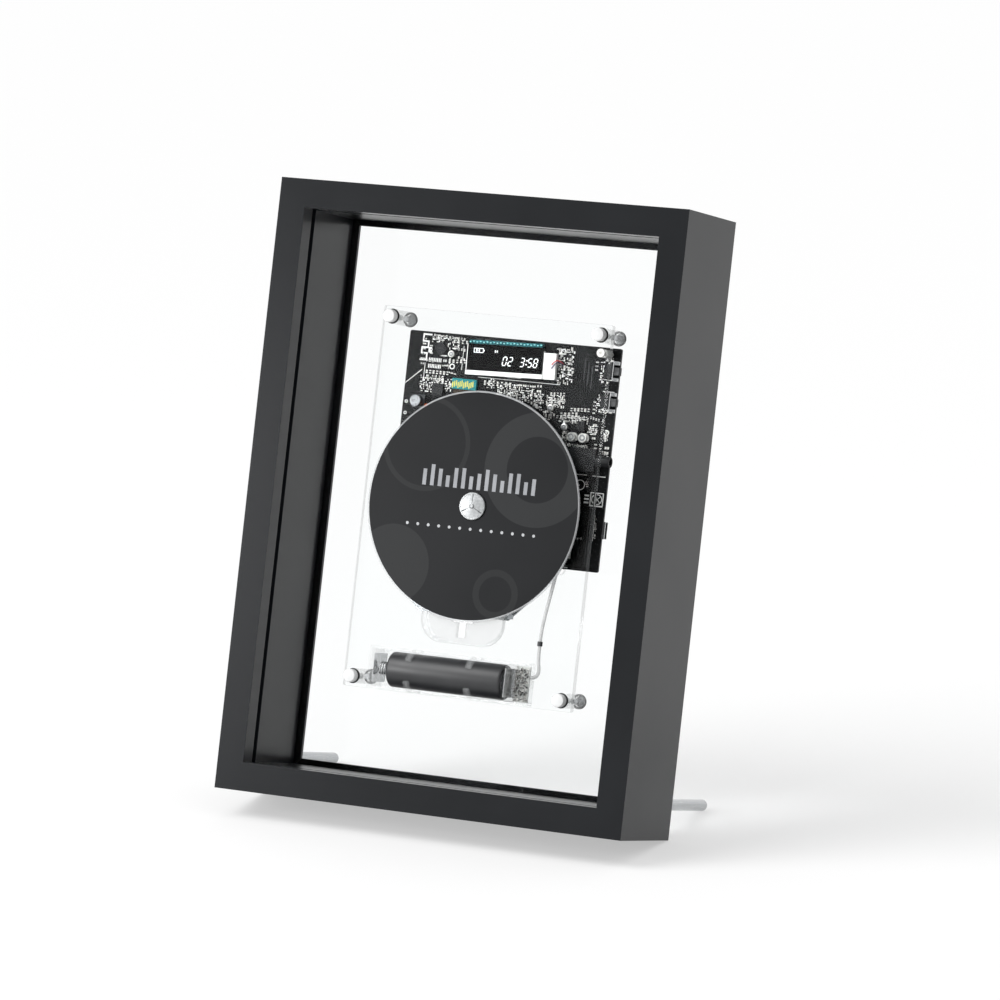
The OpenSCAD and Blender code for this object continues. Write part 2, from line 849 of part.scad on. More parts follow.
module light_guide() {
  color("#f4f5f2") leaning() on_display() {
    block(-display_w / 2 - 0.6, display_w / 2 + 0.4, display_back, board_y,
      -display_h / 2 - strip_h, display_h / 2 - pin_h);
    block(display_w / 2 + 0.4, display_w / 2 + 0.4 + block_w, display_back - 0.6, board_y,
      -display_h / 2 - strip_h, display_h / 2 - block_drop);
    block(-display_w / 2 - 0.6, display_w / 2 + 0.4, display_back - display_t, display_back,
      -display_h / 2 - strip_h, -display_h / 2);
  }
}

// The display's row of pins bends over the top of the glass and down to the board
module display_pins() {
  step = (display_w - 3) / (pin_count - 1);
  color("#2f9aa0") leaning() on_display()
    for (k = [0 : pin_count - 1])
      translate([-display_w / 2 + 1.5 + step * k, 0, display_h / 2]) {
        block(-pin_w / 2, pin_w / 2, display_back - display_t, board_y, 0, pin_w);
        block(-pin_w / 2, pin_w / 2, board_y - pin_w, board_y, 0, pin_h);
      }
}

// A flat chip with rows of legs on two sides
module legged_chip(w, h, t, legs, pitch) {
  block(-w / 2, w / 2, -t, -0.2, -h / 2, h / 2);
  for (k = [0 : legs - 1], side = [-1, 1])
    translate([0, 0, pitch * (k - (legs - 1) / 2)])
      block(side * w / 2 - 0.6, side * w / 2 + 0.6, -0.5, 0, -0.15, 0.15);
}

module wireless_chip() {
  color("#26282a") leaning() on_board(wireless_place)
    rotate([0, 45, 0])
      block(-2.6, 2.6, -0.9, 0, -2.6, 2.6);
}

module decoder_chip() {
  color("#232527") leaning() on_board(decoder_place)
    legged_chip(6, 6.6, 1.2, 8, 0.8);
}

module power_chip() {
  color("#2a2b2d") leaning() on_board(power_place)
    legged_chip(3.9, 4.9, 1.5, 4, 1.1);
}

module inductors() {
  color("#c9cbcc") leaning()
    for (place = inductor_places)
      on_board(place)
        rotate([90, 0, 0])
          rotate_extrude()
            polygon([[0, 0], [inductor_d / 2, 0], [inductor_d / 2, 0.7], [inductor_d / 2 - 0.7, 1.1],
              [inductor_d / 2 - 0.7, inductor_h - 1.1], [inductor_d / 2, inductor_h - 0.7],
              [inductor_d / 2, inductor_h], [0, inductor_h]]);
}

module can_capacitor() {
  color("#a9abad") leaning() on_board(can_place) {
    block(-can_d / 2, can_d / 2, -0.8, 0, -can_d / 2, can_d / 2);
    translate([0, -0.8, 0])
      rotate([90, 0, 0])
        rotate_extrude()
          polygon([[0, 0], [can_d / 2 - 0.3, 0], [can_d / 2 - 0.3, 0.6], [can_d / 2 - 0.6, 0.8],
            [can_d / 2 - 0.6, 1.1], [can_d / 2, 1.4], [can_d / 2, can_h - 1.2],
            [can_d / 2 - 0.4, can_h - 0.8], [0, can_h - 0.8]]);
  }
}

module indicator_led() {
  color("#e8743a") leaning() on_board(led_place) {
    block(-0.8, 0.8, -0.6, 0, -0.8, 0.8);
    translate([0, -0.6, 0])
      rotate([90, 0, 0])
        cylinder(h = 0.5, d = 1.3);
  }
}

module ribbon_connector() {
  color("#23868a") leaning() on_board(ribbon_place)
    difference() {
      block(-ribbon_w / 2, ribbon_w / 2, -ribbon_t, 0, -ribbon_h / 2, ribbon_h / 2);
      block(-film_w / 2 - 0.2, film_w / 2 + 0.2, -ribbon_t / 2 - film_t, -ribbon_t / 2 + film_t,
        -ribbon_h / 2 - 1, ribbon_h / 2 - 1);
    }
}

// The flat cable from its connector down to the mechanism's chassis
module ribbon_cable() {
  film_back = board_y - ribbon_t / 2 + film_t / 2;
  film_top = middle + board_z + ribbon_place[1] + ribbon_h / 2 - 1.5;
  film_x = board_x + ribbon_place[0];
  color("#c98f3c") leaning() {
    block(film_x - film_w / 2, film_x + film_w / 2, film_back - film_t, film_back,
      middle + chassis_top - 4, film_top);
    block(film_x - film_w / 2, film_x + film_w / 2, film_back, chassis_y,
      middle + chassis_top - 4, middle + chassis_top - 4 + film_t);
  }
}

module small_parts() {
  color("#a8a49c") leaning()
    for (row = part_rows, k = [0 : row[2] - 1])
      on_board([row[0] + k * row[3], row[1] + k * row[4]])
        block(-row[5] / 2, row[5] / 2, -row[7], 0, -row[6] / 2, row[6] / 2);
}

module audio_jack() {
  nose_end = edge + jack_nose - jack_set_back + 1.2;
  color("#17181a") leaning() on_board([0, jack_z])
    difference() {
      union() {
        block(edge - jack_set_back - jack_w, edge - jack_set_back, -jack_t, 0, -jack_h / 2, jack_h / 2);
        cross_bar(edge - jack_set_back - 1, nose_end, -jack_t / 2 - 0.2, 0, min(jack_nose_d, jack_t));
      }
      cross_bar(nose_end - jack_hole_depth, nose_end + 1, -jack_t / 2 - 0.2, 0, jack_bore);
    }
}

module charge_socket() {
  color("#c3c5c7") leaning()
    on_board([edge - socket_w + socket_over, socket_z])
      translate([0, board_t, 0])
        difference() {
          block(0, socket_w, 0, socket_t, -socket_h / 2, socket_h / 2);
          block(1.5, socket_w + 1, socket_wall, socket_t - socket_wall,
            -socket_h / 2 + socket_wall, socket_h / 2 - socket_wall);
          block(1.2, 1.4, socket_wall, socket_t - socket_wall, -2, 2);
        }
}

module battery_connector() {
  color("#ecece8") leaning() on_board(battery_plug_place)
    block(-2.6, 2.6, -4.8, 0, 0, 4.6);
}

module switch_bodies() {
  body_end = edge - bracket_inset;
  color("#1d1e20") leaning()
    for (z = switch_heights)
      on_board([0, z])
        difference() {
          block(body_end - switch_w, body_end, switch_front, 0, -switch_h / 2, switch_h / 2);
          block(body_end - plunger_root - press - cavity_play, body_end + 1,
            switch_front + (switch_t - plunger_t) / 2 - cavity_play,
            switch_front + (switch_t + plunger_t) / 2 + cavity_play,
            -plunger_h / 2 - cavity_play, plunger_h / 2 + cavity_play);
        }
}

module switch_brackets() {
  plate_x = edge - bracket_inset;
  half = switch_h / 2 + bracket_over;
  color("#c3c5c7") leaning()
    for (z = switch_heights)
      on_board([0, z])
        difference() {
          union() {
            block(plate_x, plate_x + bracket_t, switch_front, 0, -half, half);
            for (side = [-1, 1])
              block(plate_x, plate_x + bracket_ear, -bracket_t, 0,
                side * half - (side + 1) / 2 * bracket_over, side * half + (1 - side) / 2 * bracket_over);
          }
          block(plate_x - 1, plate_x + bracket_ear + 1,
            switch_front + (switch_t - plunger_t) / 2 - cavity_play,
            switch_front + (switch_t + plunger_t) / 2 + cavity_play,
            -plunger_h / 2 - cavity_play, plunger_h / 2 + cavity_play);
        }
}

module plunger(z) {
  face_x = edge - bracket_inset;
  on_board([0, z])
    block(face_x - plunger_root, face_x + bracket_t + plunger_reach,
      switch_front + (switch_t - plunger_t) / 2, switch_front + (switch_t + plunger_t) / 2,
      -plunger_h / 2, plunger_h / 2);
}

module power_plunger() {
  color("#141415") leaning() plunger(power_switch_z);
}

module pair_plunger() {
  color("#141415") leaning() plunger(pair_switch_z);
}

// A finger of the battery holder that wraps forward round the cell; side is 1 above and -1 below
module clip_finger(x, side) {
  translate([x - clip_w / 2, cell_y, cell_z])
    rotate([0, 90, 0])
      rotate([0, 0, side > 0 ? 180 : 0])
        rotate([0, 0, side > 0 ? -clip_root : -clip_angle])
          rotate_extrude(angle = clip_angle + clip_root)
            translate([clip_r, 0])
              square([holder_wall, clip_w]);
}

module battery_holder() {
  side_in = holder_side;
  side_out = holder_side + holder_wall;
  color("#e8edef", 0.5) leaning() {
    block(-holder_left, holder_right, plate_y - holder_wall, plate_y, cell_z - side_out, cell_z + side_out);
    for (side = [-1, 1])
      difference() {
        block(-holder_left, holder_right, cell_y, plate_y - holder_wall,
          cell_z + (side > 0 ? side_in : -side_out), cell_z + (side > 0 ? side_out : -side_in));
        for (x = clip_places, gap = [-1, 1])
          translate([x + gap * (clip_w / 2 + clip_shoulder + clip_slot / 2), 0, cell_z + side * side_in])
            block(-clip_slot / 2, clip_slot / 2, cell_y - 1, cell_y + clip_depth, -3, 3);
      }
    block(-holder_left, -holder_left + holder_wall, cell_y, plate_y - holder_wall,
      cell_z - side_out, cell_z + side_out);
    block(-spring_plate_x - contact_t - holder_wall, -spring_plate_x - contact_t, cell_y - 2,
      plate_y - holder_wall, cell_z - side_in, cell_z + side_in);
    block(right_contact_x + contact_t, right_contact_x + contact_t + 1, cell_y - 5,
      plate_y - holder_wall, cell_z - side_in, cell_z + side_in);
    for (x = clip_places, side = [-1, 1])
      clip_finger(x, side);
  }
}

module battery_spring() {
  color("#c9cccf") leaning()
    polyhedron(points = [for (i = [0 : spring_rings])
        each ring_points(spring_point(i), spring_way(i), spring_wire / 2, spring_sides)],
      faces = tube_faces(spring_rings + 1, spring_sides));
}

module battery_contacts() {
  contact_half = 7.5;
  color("#c9cccf") leaning() {
    block(-spring_plate_x - contact_t, -spring_plate_x, cell_y - 6, plate_y - holder_wall,
      cell_z - contact_half, cell_z + contact_half);
    block(right_contact_x, right_contact_x + contact_t, cell_y - 6, plate_y - holder_wall,
      cell_z - contact_half, cell_z + contact_half);
  }
}

module holder_board() {
  color("#e9ece9") leaning() {
    block(tiny_board_x, tiny_board_end, tiny_board_back - tiny_board_t, tiny_board_back,
      cell_z - holder_side + 0.5, cell_z + holder_side - 0.5);
    for (z = [-7, 7])
      bar([(tiny_board_x + tiny_board_end) / 2, cell_z + z], tiny_board_back, plate_y - holder_wall, 2.4);
    for (k = [0 : 6], side = [0, 1])
      translate([tiny_board_x + 1.5 + 2.4 * side, tiny_board_back - tiny_board_t, cell_z - 8 + 2.6 * k])
        block(-0.8, 0.8, -0.7, 0, -0.5, 0.5);
  }
}

module battery_cell() {
  color("#232427") leaning()
    translate([-cell_end, cell_y, cell_z])
      rotate([0, 90, 0])
        rotate_extrude()
          polygon([[0, 0], [cell_r - 1.2, 0], [cell_r - 0.4, 0.4], [cell_r, 1.2],
            [cell_r, cell_len - 1], [cell_r - 0.5, cell_len - 0.3], [cell_r - 1.5, cell_len],
            [nub_d / 2, cell_len], [nub_d / 2, cell_len + nub_len], [0, cell_len + nub_len]]);
}

module battery_lead() {
  color("#dddddd") leaning()
    polyhedron(points = [for (i = [0 : lead_last()])
        each ring_points(lead_route[i], lead_way(i), cord_d / 2, lead_sides)],
      faces = tube_faces(lead_last() + 1, lead_sides));
}

module lead_tie() {
  color("#3a3b3d") leaning()
    difference() {
      upright(tie_x, tie_y, tie_low, tie_low + tie_len, cord_d + 0.9);
      upright(tie_x, tie_y, tie_low - 1, tie_low + tie_len + 1, cord_d + 0.1);
    }
}

// A bent-up tab of the chassis that holds the end of a guide rod or of the lead screw
module tab(x, half_w, z0, z1) {
  block(x - half_w, x + half_w, guide_y - 2.6, chassis_y, z0, z1);
}

module chassis() {
  color("#9ea2a6") leaning()
    difference() {
      union() {
        slab(chassis_y, chassis_back)
          polygon([[-chassis_left, middle + chassis_top], [chassis_right, middle + chassis_top],
            [chassis_right, middle - chassis_low + chassis_cut],
            [chassis_right - chassis_cut, middle - chassis_low],
            [-chassis_left + chassis_cut_left, middle - chassis_low],
            [-chassis_left, middle - chassis_low + chassis_cut_left]]);
        for (side = [-1, 1]) {
          tab(side * guide_pitch / 2, 3, rod_foot, rod_foot + rod_foot_t);
          tab(side * guide_pitch / 2, 3, rod_head, rod_head + rod_head_t);
        }
        tab(-lead_x, 4, rod_foot, rod_foot + rod_foot_t);
        tab(-lead_x, 4, screw_head_z, screw_head_z + screw_head_t);
      }
      for (side = [-1, 1])
        upright(side * guide_pitch / 2, guide_y, rod_foot - 1, rod_head + rod_head_t + 1,
          guide_d + 2 * fit);
      upright(-lead_x, guide_y, rod_foot + 1, screw_head_z + screw_head_t + 1, lead_d + 2 * fit);
      slab(chassis_y - 1, chassis_back + 1)
        round_box(-tongue_w / 2, tongue_w / 2, middle - lens_reach + 6, middle - motor_d / 2 - 3, 3);
      for (place = post_places)
        bar([place[0], middle + place[1]], chassis_y - 1, chassis_back + 1, grommet_hole_d);
    }
}

module chassis_posts() {
  color("#b9bcbe") leaning()
    for (place = post_places)
      difference() {
        bar([place[0], middle + place[1]], plate_back, post_end, post_d);
        bar([place[0], middle + place[1]], plate_back - 1, post_end + 1, chassis_screw_d + 2 * fit);
      }
}

module grommets() {
  color("#1a1a1a") leaning()
    for (place = post_places)
      difference() {
        union() {
          bar([place[0], middle + place[1]], post_end, chassis_y, grommet_d);
          bar([place[0], middle + place[1]], post_end, chassis_back + grommet_t, grommet_hole_d - 2 * fit);
          bar([place[0], middle + place[1]], chassis_back, chassis_back + grommet_t, grommet_d);
        }
        bar([place[0], middle + place[1]], post_end - 1, chassis_back + grommet_t + 1, grommet_bore_d);
      }
}

module chassis_screws() {
  color("#b9bcbe") leaning()
    for (place = post_places) {
      bar([place[0], middle + place[1]], post_end - 4.5, chassis_back + grommet_t, chassis_screw_d);
      bar([place[0], middle + place[1]], chassis_back + grommet_t, chassis_back + grommet_t + 1.4,
        chassis_head_d);
      bar([place[0], middle + place[1]], plate_y, plate_back + 3, chassis_screw_d);
      bar([place[0], middle + place[1]], plate_y - 1.2, plate_y, chassis_head_d);
    }
}

module spindle_motor() {
  front = chassis_y - motor_h;
  color("#a4a8ac") leaning()
    difference() {
      union() {
        bar([0, middle], front, chassis_y, motor_d);
        bar([0, middle], front - 0.3, front, 6);
      }
      bar([0, middle], front - 1, chassis_y - 1, shaft_d + 2 * fit);
    }
}

// The turntable carries the pad, the hub and the motor's shaft
module turntable() {
  color("#2b2c2e") leaning() {
    bar([0, middle], pad_back, table_back, turntable_d);
    bar([0, middle], table_back, table_boss_back, table_boss_d);
    bar([0, middle], disc_y, pad_back, hub_d);
    bar([0, middle], table_boss_back, chassis_y - 1.5, shaft_d);
  }
}

module turntable_pad() {
  color("#151515") leaning()
    slab(disc_back, pad_back)
      translate([0, middle])
        difference() {
          circle(d = turntable_d - 1);
          circle(d = turntable_d - 10);
        }
}

module hub_cone() {
  color("#d2d4d6") leaning()
    translate([0, disc_y, middle])
      rotate([90, 0, 0])
        rotate_extrude()
          polygon([[0, 0], [hub_d / 2, 0], [hub_d / 2, 0.4], [cone_d / 2, hub_rise],
            [cone_hole_d / 2, hub_rise], [cone_hole_d / 2, hub_rise - 1.2], [0, hub_rise - 1.2]]);
}

module disc() {
  color("#2e2f31") leaning()
    slab(disc_y, disc_back)
      translate([0, middle])
        difference() {
          circle(d = disc_d, $fn = 128);
          circle(d = disc_bore);
        }
}

module guide_rods() {
  color("#c9cccf") leaning()
    for (side = [-1, 1])
      upright(side * guide_pitch / 2, guide_y, rod_foot, rod_head + rod_head_t, guide_d);
}

// The sled is drawn at rest, with the lens under the disc's inner tracks
module sled() {
  lens_z = middle - lens_rest;
  front = guide_y - sled_t / 2;
  back = guide_y + sled_t / 2;
  color("#3b3d40") leaning()
    difference() {
      union() {
        block(-tongue_w / 2, tongue_w / 2, front, back, lens_z - tongue_low, lens_z + sled_bar_top);
        block(-sled_arm_out, sled_arm_out, front, back, lens_z + sled_bar_low, lens_z + sled_bar_top);
        for (side = [-1, 1])
          block(side > 0 ? sled_arm_in : -sled_arm_out, side > 0 ? sled_arm_out : -sled_arm_in,
            front, back, lens_z + sled_bar_low, lens_z + sled_arm_top);
        block(-lead_x - nut_side, -sled_arm_out, front + 0.2, back - 0.2, lens_z + nut_low, lens_z + nut_top);
        bar([0, lens_z], tower_front, front, tower_d);
        bar([0, lens_z], lens_front, tower_front, lens_d);
      }
      for (side = [-1, 1])
        upright(side * guide_pitch / 2, guide_y, lens_z, lens_z + sled_arm_top + 1, guide_d + 2 * fit);
      upright(-lead_x, guide_y, lens_z, lens_z + nut_top + 1, lead_d + 2 * fit);
    }
}

module lead_screw() {
  color("#c0c3c6") leaning()
    upright(-lead_x, guide_y, rod_foot + 1 + screw_play, motor_seat_z + screw_grip, lead_d);
}

module sled_motor() {
  color("#a4a8ac") leaning()
    difference() {
      upright(-lead_x, guide_y, motor_seat_z, motor_seat_z + sled_motor_len, sled_motor_d);
      upright(-lead_x, guide_y, motor_seat_z - 1, motor_seat_z + screw_grip + screw_play,
        lead_d + 2 * fit);
    }
}

top_rail();
bottom_rail();
left_rail();
right_rail();
back_panel();
hanger_plates();
hanger_screws();
rod_inserts();
left_stand_rod();
right_stand_rod();
mounting_plate();
standoff_caps();
front_rings();
standoff_barrels();
rear_rings();
panel_screws();
mechanism_cover();
main_board();
board_spacers();
plate_screws();
board_screws();
display_glass();
light_guide();
display_pins();
wireless_chip();
decoder_chip();
power_chip();
inductors();
can_capacitor();
indicator_led();
ribbon_connector();
ribbon_cable();
small_parts();
audio_jack();
charge_socket();
battery_connector();
switch_bodies();
switch_brackets();
power_plunger();
pair_plunger();
battery_holder();
battery_spring();
battery_contacts();
holder_board();
battery_cell();
battery_lead();
lead_tie();
chassis();
chassis_posts();
grommets();
chassis_screws();
spindle_motor();
turntable();
turntable_pad();
hub_cone();
disc();
guide_rods();
sled();
lead_screw();
sled_motor();
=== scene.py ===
"""Looks of a disc player shown open in a deep black picture frame, with clear plates, a circuit board,
a disc on its hub and a battery cell. New shapes are worked out in the upright frame in millimetres
(x right, y back from the frame's front face, z up), then tipped back as the player leans."""

import json
import math

import bmesh
import bpy
import numpy as np
from mathutils import Matrix, Vector

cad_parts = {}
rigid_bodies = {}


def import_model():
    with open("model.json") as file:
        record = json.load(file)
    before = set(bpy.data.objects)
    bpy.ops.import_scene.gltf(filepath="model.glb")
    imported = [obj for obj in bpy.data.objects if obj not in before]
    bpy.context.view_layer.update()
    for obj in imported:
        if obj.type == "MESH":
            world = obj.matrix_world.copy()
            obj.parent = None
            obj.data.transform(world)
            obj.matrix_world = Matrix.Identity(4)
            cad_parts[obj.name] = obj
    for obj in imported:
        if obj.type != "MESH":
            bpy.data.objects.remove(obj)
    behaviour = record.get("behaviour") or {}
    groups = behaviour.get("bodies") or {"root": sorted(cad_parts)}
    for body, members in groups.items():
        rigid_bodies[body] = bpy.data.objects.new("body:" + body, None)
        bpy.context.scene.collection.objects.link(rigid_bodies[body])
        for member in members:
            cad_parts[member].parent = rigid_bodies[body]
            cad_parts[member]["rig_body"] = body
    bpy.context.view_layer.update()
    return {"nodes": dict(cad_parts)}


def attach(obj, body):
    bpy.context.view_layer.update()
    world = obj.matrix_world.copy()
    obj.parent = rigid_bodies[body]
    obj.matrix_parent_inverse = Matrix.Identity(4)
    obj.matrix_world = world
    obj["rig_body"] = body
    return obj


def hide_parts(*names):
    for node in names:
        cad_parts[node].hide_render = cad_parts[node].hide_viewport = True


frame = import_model()

# ---------------------------------------------------------------- sizes, in mm, as the source has them
LEAN = math.radians(13.5)
FRAME_H, FRAME_D = 320.0, 65.0
SHIFT = (FRAME_D * math.cos(LEAN) - FRAME_H * math.sin(LEAN)) / 2
MIDDLE = 160.0
PLATE_BACK, PANEL_BACK = 40.0, 63.0
BOARD_FRONT, BOARD_BACK = 47.0, 48.6
BOARD_X, BOARD_Z = 7.0, 190.8
DISC_FRONT, DISC_BACK = 31.0, 32.2
CELL_Y, CELL_Z = 25.0, 71.6
GLASS_FRONT = 43.8
STANDOFFS = np.array([[x, 0, z] for x in (-59.5, 59.5) for z in (65.5, 254.5)])
SPACERS = np.array([[60.5, 0, 245.3], [-46, 0, 186], [-46, 0, 140], [43, 0, 140]])


def leaned(points):
    """Upright millimetres to the shared frame in metres: a turn by LEAN about x at the back face, then a
    shift that centres the player."""
    x, y, z = np.moveaxis(np.asarray(points, float), -1, 0)
    back, c, s = y - FRAME_D, math.cos(LEAN), math.sin(LEAN)
    return np.stack([x, SHIFT + back * c + z * s, z * c - back * s], -1) / 1000


# ---------------------------------------------------------------- camera and light

def make_camera():
    """The photograph's view: 24 degrees round to the right, 12 degrees down, a long lens, a slight roll."""
    data = bpy.data.cameras.new("camera")
    data.sensor_width, data.lens = 36.0, 194.039
    data.clip_start, data.clip_end = 0.05, 100.0
    camera = bpy.data.objects.new("camera", data)
    bpy.context.scene.collection.objects.link(camera)
    turn = (Matrix.Rotation(math.radians(24.3905), 4, "Z")
            @ Matrix.Rotation(math.radians(90 - 11.6941), 4, "X")
            @ Matrix.Rotation(math.radians(0.7528), 4, "Z"))
    camera.matrix_world = Matrix.Translation((1.14040, -2.48245, 0.73218)) @ turn
    bpy.context.scene.camera = camera


def add(tree, kind, inputs=None, **settings):
    """Adds one node. Settings are its properties; inputs are its sockets' values or what they link from."""
    n = tree.nodes.new(kind)
    for key, value in settings.items():
        setattr(n, key, value)
    for key, value in (inputs or {}).items():
        if isinstance(value, bpy.types.NodeSocket):
            tree.links.new(value, n.inputs[key])
        else:
            n.inputs[key].default_value = value
    return n


def linear(code):
    """An sRGB hex colour as linear RGBA."""
    c = np.array([int(code[i:i + 2], 16) for i in (1, 3, 5)]) / 255
    c = np.where(c <= 0.04045, c / 12.92, ((c + 0.055) / 1.055) ** 2.4)
    return (*c.tolist(), 1.0)


def seen_directly(tree):
    """1 for rays from the camera and for those it sees by a mirror or through glass, 0 for other rays."""
    path = add(tree, "ShaderNodeLightPath")
    glossy = add(tree, "ShaderNodeMath", {0: path.outputs["Is Camera Ray"], 1: path.outputs["Is Glossy Ray"]},
                 operation="MAXIMUM")
    return add(tree, "ShaderNodeMath", {0: glossy.outputs[0], 1: path.outputs["Is Transmission Ray"]},
               operation="MAXIMUM").outputs[0]


def make_studio():
    """A pale floor, a white room, a soft key from the left front and a small panel that grades the frame."""
    world = bpy.data.worlds.new("studio")
    bpy.context.scene.world = world
    world.use_nodes = True
    tree = world.node_tree
    tree.nodes.clear()
    strength = add(tree, "ShaderNodeMapRange", {"Value": seen_directly(tree), "To Min": 0.70, "To Max": 1.0})
    room = add(tree, "ShaderNodeBackground", {"Color": linear("#ffffff"), "Strength": strength.outputs[0]})
    add(tree, "ShaderNodeOutputWorld", {"Surface": room.outputs[0]})

    key = bpy.data.lights.new("key", "SUN")
    key.energy, key.angle, key.color = 1.55, math.radians(34), (1, 1, 1)
    sun = bpy.data.objects.new("key", key)
    sun.matrix_world = Matrix.Rotation(math.radians(-52), 4, "Z") @ Matrix.Rotation(math.radians(42), 4, "X")
    bpy.context.scene.collection.objects.link(sun)

    panel = bpy.data.lights.new("panel", "AREA")
    panel.shape, panel.size, panel.energy = "SQUARE", 0.36, 5.2
    lamp = bpy.data.objects.new("panel", panel)
    lamp.location = (-0.76, -0.80, 0.33)
    lamp.rotation_euler = (Vector((-0.09, 0.0, 0.22)) - lamp.location).to_track_quat("-Z", "Y").to_euler()
    bpy.context.scene.collection.objects.link(lamp)

    floor = bpy.data.meshes.new("floor")
    floor.from_pydata([(-40, -40, 0), (40, -40, 0), (40, 40, 0), (-40, 40, 0)], [], [(0, 1, 2, 3)])
    ground = bpy.data.objects.new("floor", floor)
    bpy.context.scene.collection.objects.link(ground)
    paper = bpy.data.materials.new("white_paper_floor")
    paper.use_nodes = True
    tree = paper.node_tree
    tree.nodes.clear()
    lit = add(tree, "ShaderNodeBsdfDiffuse", {"Color": linear("#f6f6f6")})
    glow = add(tree, "ShaderNodeEmission", {"Color": linear("#ffffff"), "Strength": 1.0})
    share = add(tree, "ShaderNodeMath", {0: seen_directly(tree), 1: 0.45}, operation="MULTIPLY")
    both = add(tree, "ShaderNodeMixShader", {0: share.outputs[0], 1: lit.outputs[0], 2: glow.outputs[0]})
    add(tree, "ShaderNodeOutputMaterial", {"Surface": both.outputs[0]})
    floor.materials.append(paper)


# ---------------------------------------------------------------- shapes

def grid_faces(rows, columns, wrap=False):
    """Quads of a grid of points, row by row. The columns close on themselves; wrap closes the rows too."""
    r = np.arange(rows if wrap else rows - 1)[:, None]
    c = np.arange(columns)[None]
    below, side = (r + 1) % rows, (c + 1) % columns
    quads = [r * columns + c, below * columns + c, below * columns + side, r * columns + side]
    return np.stack(quads, -1).reshape(-1, 4)


def turned(profile, steps=48, ring=False, hexed=()):
    """A lathe shape about y: point = (r cos a, h, r sin a) for each [r, h] row of the profile. A row whose
    number is in hexed has a hexagon's radius, r cos 30 / cos(a mod 60 - 30). A ring's profile closes on
    itself; any other shape ends in flat caps."""
    profile = np.asarray(profile, float)
    a = 2 * math.pi * np.arange(steps) / steps
    six = math.cos(math.pi / 6) / np.cos(a % (math.pi / 3) - math.pi / 6)
    share = np.where(np.isin(np.arange(len(profile)), hexed)[:, None], six[None], 1.0)
    r = profile[:, :1] * share
    height = np.broadcast_to(profile[:, 1:], r.shape)
    points = np.stack([r * np.cos(a), height, r * np.sin(a)], -1).reshape(-1, 3)
    faces = [grid_faces(len(profile), steps, ring)]
    if not ring:
        ends = np.arange(steps)
        faces.append(np.stack([ends, ends + (len(profile) - 1) * steps]))
    return points, faces


def sideways(shell):
    """Turns a lathe shape from the y axis to the x axis by swapping coordinates."""
    points, faces = shell
    return points[:, [1, 0, 2]], faces


def moved(shell, places):
    """The shape repeated with its origin at each place."""
    points, faces = shell
    places = np.atleast_2d(np.asarray(places, float))
    step = np.arange(len(places)) * len(points)
    return ((points[None] + places[:, None]).reshape(-1, 3),
            [(f[None] + step[:, None, None]).reshape(-1, f.shape[1]) for f in faces])


CORNERS = np.array([[x, y, z] for x in (-0.5, 0.5) for y in (-0.5, 0.5) for z in (-0.5, 0.5)])
SIDES = np.array([[0, 1, 3, 2], [4, 6, 7, 5], [0, 4, 5, 1], [2, 3, 7, 6], [0, 2, 6, 4], [1, 5, 7, 3]])


def boxes(centres, sizes):
    """Square-edged blocks: each centre plus the corners of a unit cube times its size."""
    centres, sizes = np.atleast_2d(centres).astype(float), np.atleast_2d(sizes).astype(float)
    points = centres[:, None] + CORNERS[None] * np.broadcast_to(sizes, centres.shape)[:, None]
    step = np.arange(len(centres)) * 8
    return points.reshape(-1, 3), [(SIDES[None] + step[:, None, None]).reshape(-1, 4)]


def curve_through(points, per=6):
    """A smooth line through the points: between two of them the cubic whose slopes are half the distance
    between their neighbours."""
    p = np.asarray(points, float)
    p = np.vstack([2 * p[0] - p[1], p, 2 * p[-1] - p[-2]])
    t = np.linspace(0, 1, per, endpoint=False)[None, :, None]
    a, b, c, d = p[:-3, None], p[1:-2, None], p[2:-1, None], p[3:, None]
    q = 0.5 * (2 * b + (c - a) * t + (2 * a - 5 * b + 4 * c - d) * t ** 2 + (3 * b - 3 * c + d - a) * t ** 3)
    return np.vstack([q.reshape(-1, 3), p[-2:-1]])


def swept(path, radius, sides=16, beside=(0, 1, 0)):
    """A round bar along a path: path + radius (side cos a + up sin a), where side is square to the path and
    to the direction beside, and up to both. Radius may be a number for each point. The ends are capped."""
    path = np.asarray(path, float)
    way = np.gradient(path, axis=0)
    way /= np.linalg.norm(way, axis=1, keepdims=True)
    side = np.cross(way, np.asarray(beside, float))
    side /= np.linalg.norm(side, axis=1, keepdims=True)
    up = np.cross(side, way)
    a = 2 * math.pi * np.arange(sides) / sides
    r = np.broadcast_to(np.asarray(radius, float), len(path))[:, None, None]
    c, s = np.cos(a)[None, :, None], np.sin(a)[None, :, None]
    points = path[:, None] + r * (side[:, None] * c + up[:, None] * s)
    ends = np.arange(sides)
    caps = np.stack([ends, ends + (len(path) - 1) * sides])
    return points.reshape(-1, 3), [grid_faces(len(path), sides), caps]


